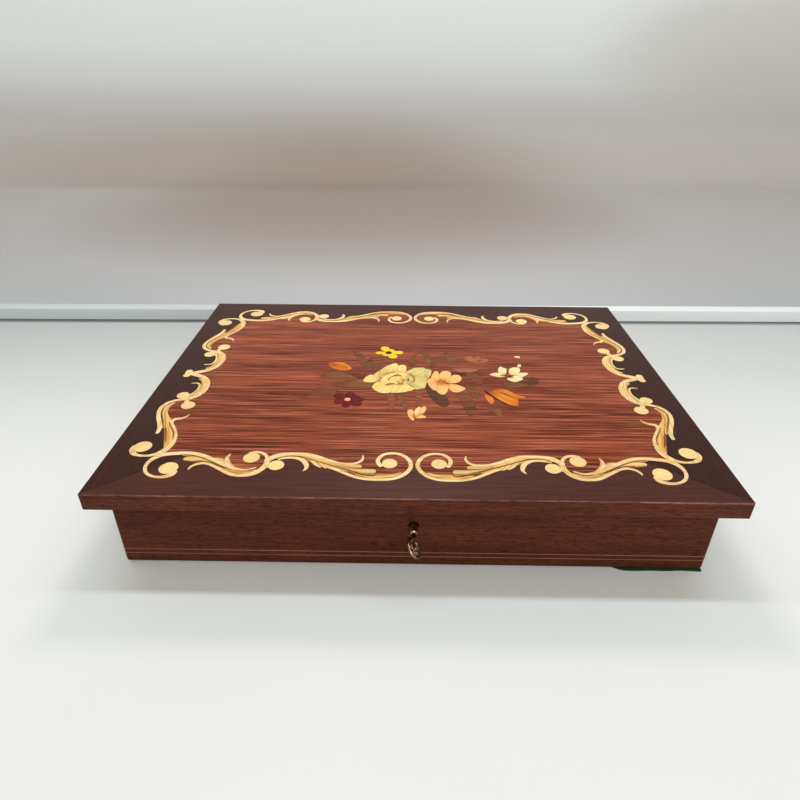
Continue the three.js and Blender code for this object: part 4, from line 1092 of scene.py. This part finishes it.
# ---------------------------------------------------------------------------
# Felt
# ---------------------------------------------------------------------------
def felt_slab(name, low, high, edge, columns=120, rows=90):
    """A sheet of felt with slightly wavering edges. The function named edge says how far each
    spot of the outline is pushed out."""
    bm = bmesh.new()
    grid = {}
    for i in range(columns + 1):
        for j in range(rows + 1):
            x = low.x + (high.x - low.x) * i / columns
            y = low.y + (high.y - low.y) * j / rows
            on_rim = i in (0, columns) or j in (0, rows)
            push = edge(x, y) if on_rim else (0, 0)
            for level, z in (("foot", low.z), ("top", high.z)):
                grid[i, j, level] = bm.verts.new((x + push[0], y + push[1], z))
    for i in range(columns):
        for j in range(rows):
            for level in ("foot", "top"):
                corners = ((i, j), (i + 1, j), (i + 1, j + 1), (i, j + 1))
                bm.faces.new([grid[a, b, level] for a, b in corners])
    rim = [(i, 0) for i in range(columns)] + [(columns, j) for j in range(rows)]
    rim += [(i, rows) for i in range(columns, 0, -1)] + [(0, j) for j in range(rows, 0, -1)]
    for here, there in zip(rim, rim[1:] + rim[:1]):
        bm.faces.new([grid[(*here, "foot")], grid[(*there, "foot")], grid[(*there, "top")], grid[(*here, "top")]])
    return mesh_object(name, bm, [felt])


def build_felt():
    low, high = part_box("base_felt")
    peel_from, peel_to = 134 * MM, 143 * MM

    def base_edge(x, y):
        waver = 0.25 * MM * math.sin(x / (9 * MM)) + 0.2 * MM * math.sin(x / (3.7 * MM) + y / (5 * MM))
        if y > low.y + MM:
            return (0, 0)
        peeled = min(1, max(0, (x - peel_from) / (peel_to - peel_from)))
        return (0, (1 - peeled) * 2.2 * MM - peeled * 2.1 * MM + waver)

    base = felt_slab("felt_base", low, high, base_edge)
    place(base, "case", "green_felt", "base_felt")

    low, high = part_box("floor_lining")
    lining = felt_slab("felt_lining", low, high, lambda x, y: (0, 0))
    place(lining, "case", "green_felt", "floor_lining")


# ---------------------------------------------------------------------------
# Metalwork
# ---------------------------------------------------------------------------
# The key, measured along its shank from its tip, in millimetres.
KEY_BARREL, KEY_BORE, KEY_SHANK = 2.4, 1.4, 1.5
KEY_COLLAR, KEY_NECK, KEY_BOW = 14.7, 18.1, 22.7
KEY_BOW_HALF_HEIGHT, KEY_BOW_TILT, KEY_RIM = 6.8, 37, 0.85


def key_profile():
    """The turned part: (distance from the tip, radius), from the foot of the bore round to the bow."""
    profile = [(9.7, 0), (9.7, KEY_BORE), (0, KEY_BORE), (0, KEY_BARREL - 0.3), (0.3, KEY_BARREL)]
    profile += [(KEY_COLLAR - 1.6, KEY_BARREL), (KEY_COLLAR - 1.2, KEY_BARREL - 0.5)]
    profile += [(KEY_COLLAR - 0.3, KEY_BARREL - 0.5)]
    ball, ball_radius = (KEY_COLLAR + KEY_NECK) / 2, 2.6
    for degrees in range(150, 20, -15):
        turn = math.radians(degrees)
        profile.append((ball + (KEY_NECK - KEY_COLLAR) / 2 * math.cos(turn), ball_radius * math.sin(turn)))
    profile += [(KEY_NECK + 0.5, 1.2), (KEY_NECK + 1.2, 1.7), (KEY_NECK + 1.9, 1.2), (KEY_BOW - 0.6, KEY_SHANK)]
    profile += [(KEY_BOW + 0.8, 1.1), (KEY_BOW + 1.2, 0)]
    return [(along * MM, radius * MM) for along, radius in profile]


def build_key():
    """A drilled key: barrel, ball collar, stepped bit, and an oval bow filled with scrolls."""
    low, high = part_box("key")
    pin_low, pin_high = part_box("drill_pin")
    tip, axis = high.y, (pin_low.z + pin_high.z) / 2
    bm = bmesh.new()
    add_turned(bm, key_profile(), (0, tip, axis), (0, -1, 0))

    turn = Matrix.Translation((0, tip, axis)) @ Matrix.Rotation(math.radians(-KEY_BOW_TILT), 4, "Y")
    rim = KEY_RIM * MM
    bow_start, bow_end = KEY_BOW * MM, tip - low.y
    middle, half_length = (bow_start + bow_end) / 2, (bow_end - bow_start) / 2 - rim
    half_height = KEY_BOW_HALF_HEIGHT * MM - rim

    def in_bow(along, height):
        return turn @ Vector((0, -along, height))

    turns = [math.radians(degrees) for degrees in range(0, 360, 8)]
    oval = [in_bow(middle + half_length * math.cos(t), half_height * math.sin(t)) for t in turns]
    add_tube(bm, oval, rim, closed=True)
    add_tube(bm, [in_bow(bow_start + rim, 0), in_bow(bow_end - rim, 0)], 0.5 * MM)
    for up in (1, -1):
        for side in (1, -1):
            curl = []
            for degrees in range(0, 420, 20):
                radius = (2.5 - 2.0 * degrees / 420) * MM
                along = middle + side * (3.0 * MM - radius * math.cos(math.radians(degrees)))
                height = up * (2.9 * MM - radius * math.sin(math.radians(degrees)))
                curl.append(in_bow(along, height))
            add_tube(bm, curl, 0.42 * MM, count=8)
    made = mesh_object("key_brass", bm, [brass_old], smooth=True)

    bit = bmesh.new()
    bit_foot = axis - 7.5 * MM
    add_box(bit, (-0.85 * MM, tip - 3.9 * MM, bit_foot), (0.85 * MM, tip - 0.3 * MM, axis - 1.8 * MM))
    bit_piece = mesh_object("key_bit", bit, [brass_old])
    ward = bmesh.new()
    add_box(ward, (-MM, tip - 2.5 * MM, bit_foot - MM), (MM, tip - 1.7 * MM, axis - 4.6 * MM))
    cut_away(bit_piece, ward)
    round_edges(bit_piece, 0.15 * MM)
    place(made, "key", "brass", "key")
    place(bit_piece, "key", "brass")


def screw(name, body, head, outward):
    """A domed, slotted brass screw."""
    profile = [(-8 * MM, 0), (-7 * MM, 0.8 * MM), (-0.9 * MM, 1.1 * MM), (-0.9 * MM, 2.1 * MM), (-0.45 * MM, 2.1 * MM)]
    profile += [(-0.15 * MM, 1.6 * MM), (-0.03 * MM, 0.8 * MM), (0, 0)]
    bm = bmesh.new()
    add_turned(bm, profile, head, outward, 24)
    made = mesh_object("turned_" + name, bm, [brass])
    slot = bmesh.new()
    add_box(slot, (-3 * MM, -0.25 * MM, -0.45 * MM), (3 * MM, 0.25 * MM, MM))
    turn = Vector(outward).to_track_quat("Z", "Y").to_matrix().to_4x4()
    spin = Matrix.Rotation(random.uniform(0, math.pi), 4, "Z")
    bmesh.ops.transform(slot, matrix=Matrix.Translation(head) @ turn @ spin, verts=slot.verts)
    cut_away(made, slot)
    made.data.shade_smooth()
    made.data.set_sharp_from_angle(angle=math.radians(35))
    place(made, body, "brass", name)


def build_screws():
    for name, node in nodes.items():
        if "screw" not in name:
            continue
        low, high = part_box(name)
        middle = (low + high) / 2
        if name.startswith("lock"):
            screw(name, "case", (middle.x, high.y, middle.z), (0, 1, 0))
        elif name.startswith("case"):
            screw(name, "case", (middle.x, middle.y, high.z), (0, 0, 1))
        else:
            screw(name, "lid", (middle.x, middle.y, low.z), (0, 0, -1))


def build_hinges():
    """Butt hinges: flat leaves with screw holes, turned knuckles, and a pin with domed ends."""
    for side in ("left", "right"):
        pin_low, pin_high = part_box("hinge_pin_" + side)
        axis_y, axis_z = (pin_low.y + pin_high.y) / 2, (pin_low.z + pin_high.z) / 2
        middle = (pin_low.x + pin_high.x) / 2
        half, centre_half = 20 * MM, 7 * MM
        knuckle, bore, leaf = 2.4 * MM, 1.4 * MM, 1 * MM
        outer = [(middle - half, middle - centre_half - GAP), (middle + centre_half + GAP, middle + half)]
        for part, body, stretches in (
            ("case", "case", outer),
            ("lid", "lid", [(middle - centre_half, middle + centre_half)]),
        ):
            node = "hinge_" + part + "_leaf_" + side
            low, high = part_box(node)
            foot = wall_high.z - leaf if part == "case" else lid_foot
            bm = bmesh.new()
            add_box(bm, (middle - half, low.y, foot), (middle + half, wall_high.y, foot + leaf))
            for start, end in stretches:
                add_box(bm, (start, wall_high.y - MM, foot), (end, axis_y - bore, foot + leaf))
            plate = mesh_object("leaf_" + part + "_" + side, bm, [brass])
            holes = bmesh.new()
            for away in (-12 * MM, 12 * MM):
                hole = [(0, 0), (0, 2.3 * MM), (3 * MM, 2.3 * MM), (3 * MM, 0)]
                add_turned(holes, hole, (middle + away, (low.y + wall_high.y) / 2, foot - MM), (0, 0, 1), 24)
            cut_away(plate, holes)
            round_edges(plate, 0.15 * MM)
            place(plate, body, "brass", node)
            bm = bmesh.new()
            for start, end in stretches:
                chamfer = 0.25 * MM
                profile = [(0, bore), (0, knuckle - chamfer), (chamfer, knuckle)]
                profile += [(end - start - chamfer, knuckle), (end - start, knuckle - chamfer), (end - start, bore)]
                add_turned(bm, profile, (start, axis_y, axis_z), (1, 0, 0))
            knuckles = mesh_object("knuckle_" + part + "_" + side, bm, [brass])
            knuckles.data.shade_smooth()
            knuckles.data.set_sharp_from_angle(angle=math.radians(35))
            place(knuckles, body, "brass")
        bm = bmesh.new()
        radius, length = (pin_high.z - pin_low.z) / 2, pin_high.x - pin_low.x
        profile = [(0, 0), (0.1 * MM, 0.6 * radius), (0.4 * MM, radius)]
        profile += [(length - 0.4 * MM, radius), (length - 0.1 * MM, 0.6 * radius), (length, 0)]
        add_turned(bm, profile, (pin_low.x, axis_y, axis_z), (1, 0, 0), 20)
        place(mesh_object("pin_" + side, bm, [steel], smooth=True), "case", "steel", "hinge_pin_" + side)


def build_lock():
    for node, body in (("lock_plate", "case"), ("lock_cap", "case"), ("strike_plate", "lid")):
        softened(node, body, "brass", 0.15 * MM, brass)
    softened("lock_bolt", "lock_bolt", "steel", 0.12 * MM, steel)
    softened("lock_spring", "case", "steel", 0.08 * MM, steel)
    low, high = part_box("drill_pin")
    axis = (low.z + high.z) / 2
    length, head = high.y - low.y, (high.z - low.z) / 2
    shank = 1 * MM
    bm = bmesh.new()
    profile = [(0, 0), (0.1 * MM, head * 0.7), (0.7 * MM, head), (0.7 * MM, shank)]
    profile += [(length - 0.3 * MM, shank), (length, 0.7 * MM), (length, 0)]
    add_turned(bm, profile, (0, high.y, axis), (0, -1, 0), 24)
    made = mesh_object("pin_of_lock", bm, [steel])
    made.data.shade_smooth()
    made.data.set_sharp_from_angle(angle=math.radians(35))
    place(made, "drill_pin", "steel", "drill_pin")


def finish_boards():
    """The boards whose CAD shape is already right take their wood."""
    for name, material in (("lid_board", board_wood), ("bottom_panel", board_wood), ("counter_veneer", wall_wood["x"])):
        nodes[name].data.materials.clear()
        nodes[name].data.materials.append(material)


# ---------------------------------------------------------------------------
# Stage: camera, light, floor and backdrop
# ---------------------------------------------------------------------------
def build_camera():
    """A slightly wide lens a little left of the middle, looking down at the lid."""
    focal, sensor = 26.9, 36.0
    pitch, yaw, roll = math.radians(30.573), -0.01239, 0.00531
    ahead = Vector((math.sin(yaw) * math.cos(pitch), math.cos(yaw) * math.cos(pitch), -math.sin(pitch)))
    right = ahead.cross(Vector((0, 0, 1))).normalized()
    up = right.cross(ahead)
    rolled_right = right * math.cos(roll) + up * math.sin(roll)
    rolled_up = up * math.cos(roll) - right * math.sin(roll)
    data = bpy.data.cameras.new("camera")
    data.lens = focal
    data.sensor_width = sensor
    made = bpy.data.objects.new("camera", data)
    turn = Matrix((rolled_right, rolled_up, -ahead)).transposed().to_4x4()
    stand = Vector((-5.8 * MM, lid_low.y - 287.1 * MM, lid_high.z + 240.7 * MM))
    made.matrix_world = Matrix.Translation(stand) @ turn
    bpy.context.scene.collection.objects.link(made)
    bpy.context.scene.camera = made


def area_light(name, place_at, look_at, size, power, colour=(1, 1, 1)):
    data = bpy.data.lights.new(name, "AREA")
    data.shape = "RECTANGLE"
    data.size, data.size_y = size
    data.energy = power
    data.color = colour
    made = bpy.data.objects.new(name, data)
    made.location = place_at
    made.rotation_euler = (Vector(look_at) - Vector(place_at)).to_track_quat("-Z", "Y").to_euler()
    made.visible_camera = False
    bpy.context.scene.collection.objects.link(made)


def build_lights():
    """Even light from all round, and a lamp overhead, a little behind the box."""
    world = bpy.data.worlds.new("studio")
    world.use_nodes = True
    background = world.node_tree.nodes["Background"]
    background.inputs["Color"].default_value = (1.0, 0.89, 0.75, 1)
    background.inputs["Strength"].default_value = 0.43
    bpy.context.scene.world = world
    area_light("overhead_tube", (0, 0.28, 2.0), (0, 0.28, 0), (3.0, 0.14), 19.5, (0.92, 1.0, 1.0))
    area_light("window", (0.2, -2.6, 1.7), (0, 0, 0), (3.2, 1.4), 51, (1.0, 0.965, 0.92))
    area_light("spot_over_lid", (0, 0.36, 0.7), (0, -0.14, 0.07), (0.2, 0.12), 1.8, (1.0, 0.8, 0.76))
    bpy.context.scene.view_settings.view_transform = "Standard"


# The strip behind the table, and the painted sweep behind that: flat, then curving up, far
# enough back to leave room for a view from behind. Its colours are given by the distance
# along it from the strip, in millimetres.
STRIP_Y, STRIP_DEPTH, STRIP_HEIGHT, STRIP_GAP = 273, 16, 19, 3.2
BACK_TURN = Matrix.Rotation(0.016, 4, "Z")
SWEEP_FLAT, SWEEP_RADIUS, SWEEP_RISE = 860, 150, 900
# Painted shade: these colours are greyest on the flat and grow lighter up the rise.
SWEEP_COLOURS = [
    (80, (173, 178, 183)), (180, (177, 179, 182)), (306, (177, 178, 179)), (504, (182, 181, 182)),
    (847, (188, 185, 183)), (1012, (187, 185, 184)), (1091, (200, 201, 202)), (1138, (207, 210, 213)),
    (1174, (217, 222, 224)), (1233, (228, 234, 238)), (1280, (234, 240, 244)), (1400, (238, 244, 247)),
]
# Soft patches painted on it, the brown ones a painted reflection of the box and the grey one painted shade at the top
# right: middle across and along, half width and half length, colour, strength.
PAINTED_REFLECTION_AND_SHADE = [
    (-100, 620, 650, 480, (138, 116, 106), 0.52),
    (-330, 945, 950, 165, (148, 128, 116), 0.38),
    (1000, 1250, 560, 200, (190, 188, 184), 0.6),
]


def sweep_material():
    """Pale paint with painted shade, greyest on the flat and lighter up the rise, and soft painted patches: a brown
    reflection of the box across the flat and shade at the top right.
    """
    made, tree, shader = new_material("sweep_paint")
    parts = add(tree, "ShaderNodeSeparateXYZ", {0: add(tree, "ShaderNodeUVMap").outputs[0]}).outputs
    longest = SWEEP_COLOURS[-1][0]
    share = math_node(tree, "DIVIDE", parts[1], longest * MM)
    shades = add(tree, "ShaderNodeValToRGB", {0: share})
    shades.color_ramp.interpolation = "B_SPLINE"
    stops = shades.color_ramp.elements
    while len(stops) < len(SWEEP_COLOURS):
        stops.new(0.5)
    for stop, (level, colour) in zip(stops, SWEEP_COLOURS):
        stop.position = level / longest
        stop.color = srgb(*colour)

    def apart(part, middle, half):
        offset = math_node(tree, "SUBTRACT", part, middle * MM)
        return math_node(tree, "POWER", math_node(tree, "ABSOLUTE", math_node(tree, "DIVIDE", offset, half * MM)), 2.0)

    colour = shades.outputs[0]
    # Each patch paints a reflection of the box, or shade, into the colour.
    for x, along, half_width, half_length, patch_colour, strength in PAINTED_REFLECTION_AND_SHADE:
        outward = math_node(tree, "ADD", apart(parts[0], x, half_width), apart(parts[1], along, half_length))
        limits = {"Value": outward, "From Min": 1.2, "From Max": 0.0, "To Max": strength}
        painted_patch = add(tree, "ShaderNodeMapRange", limits, interpolation_type="SMOOTHSTEP").outputs[0]
        colour = mix(tree, painted_patch, colour, srgb(*patch_colour))
    plug(tree, shader.inputs["Base Color"], colour)
    shader.inputs["Roughness"].default_value = 0.7
    shader.inputs["Specular IOR Level"].default_value = 0.1
    return made


def sweep_profile():
    """Points of the sweep as (distance back from the strip, height, distance along), in millimetres."""
    profile = [(SWEEP_FLAT * k / 8, 0, SWEEP_FLAT * k / 8) for k in range(8)]
    for k in range(17):
        turn = math.pi / 2 * k / 16
        back, height = SWEEP_FLAT + SWEEP_RADIUS * math.sin(turn), SWEEP_RADIUS * (1 - math.cos(turn))
        profile.append((back, height, SWEEP_FLAT + SWEEP_RADIUS * turn))
    back, height, along = profile[-1]
    return profile + [(back, height + SWEEP_RISE, along + SWEEP_RISE)]


def painted_material(name, pale, dark, shade):
    """White paint, faintly mottled, and greyed in places by painted shade. The function named shade says how grey each
    place is.
    """
    made, tree, shader = new_material(name)
    place_here = add(tree, "ShaderNodeTexCoord").outputs["Object"]
    parts = add(tree, "ShaderNodeSeparateXYZ", {0: place_here}).outputs
    cloud = noise(tree, place_here, (6, 6, 6), detail=3.0)
    grey = math_node(tree, "MULTIPLY_ADD", cloud, 0.1, shade(tree, parts))
    colour = mix(tree, grey, pale, dark)
    plug(tree, shader.inputs["Base Color"], colour)
    shader.inputs["Roughness"].default_value = 0.6
    shader.inputs["Specular IOR Level"].default_value = 0.2
    return made


def table_painted_shade(tree, parts):
    """Painted shade: greyer towards the back, the more so on the left."""
    back = ramp(tree, parts[1], -0.1, 0.29)
    left = math_node(tree, "MULTIPLY_ADD", ramp(tree, parts[0], 0.3, -0.3), 0.2, 0.8)
    return math_node(tree, "MULTIPLY", back, left)


def strip_painted_shade(tree, parts):
    """Painted shade: greyer on the left."""
    return ramp(tree, parts[0], 0.2, -0.3)


def build_stage():
    wide, near = 6.0, -6.0
    table = painted_material("table_white", srgb(226, 232, 235), srgb(182, 188, 190), table_painted_shade)
    strip_paint = painted_material("strip_grey", srgb(224, 232, 236), srgb(190, 200, 204), strip_painted_shade)
    strip_back = (STRIP_Y + STRIP_DEPTH) * MM
    corners = ((-wide, near, 0), (wide, near, 0), (wide, strip_back, 0), (-wide, strip_back, 0))
    bm = bmesh.new()
    bm.faces.new([bm.verts.new(corner) for corner in corners])
    bm.transform(BACK_TURN)
    mesh_object("table", bm, [table])

    bm = bmesh.new()
    add_box(bm, (-wide, STRIP_Y * MM, STRIP_GAP * MM), (wide, strip_back, STRIP_HEIGHT * MM))
    bm.transform(BACK_TURN)
    strip = mesh_object("strip", bm, [strip_paint])
    round_edges(strip, 1.8 * MM, 4)

    bm = bmesh.new()
    uv = bm.loops.layers.uv.verify()
    rows = []
    for back, height, along in sweep_profile():
        row = [bm.verts.new((x, strip_back + back * MM, height * MM)) for x in (-wide, wide)]
        rows.append((row, along * MM))
    for (row, along), (following, beyond) in zip(rows, rows[1:]):
        face = bm.faces.new([row[0], row[1], following[1], following[0]])
        for loop, place_here in zip(face.loops, ((-wide, along), (wide, along), (wide, beyond), (-wide, beyond))):
            loop[uv].uv = place_here
    bm.transform(BACK_TURN)
    mesh_object("sweep", bm, [sweep_material()], smooth=True)


build_camera()
build_lights()
build_stage()
build_walls()
build_lid_edges()
build_marquetry()
build_felt()
build_key()
build_screws()
build_hinges()
build_lock()
finish_boards()
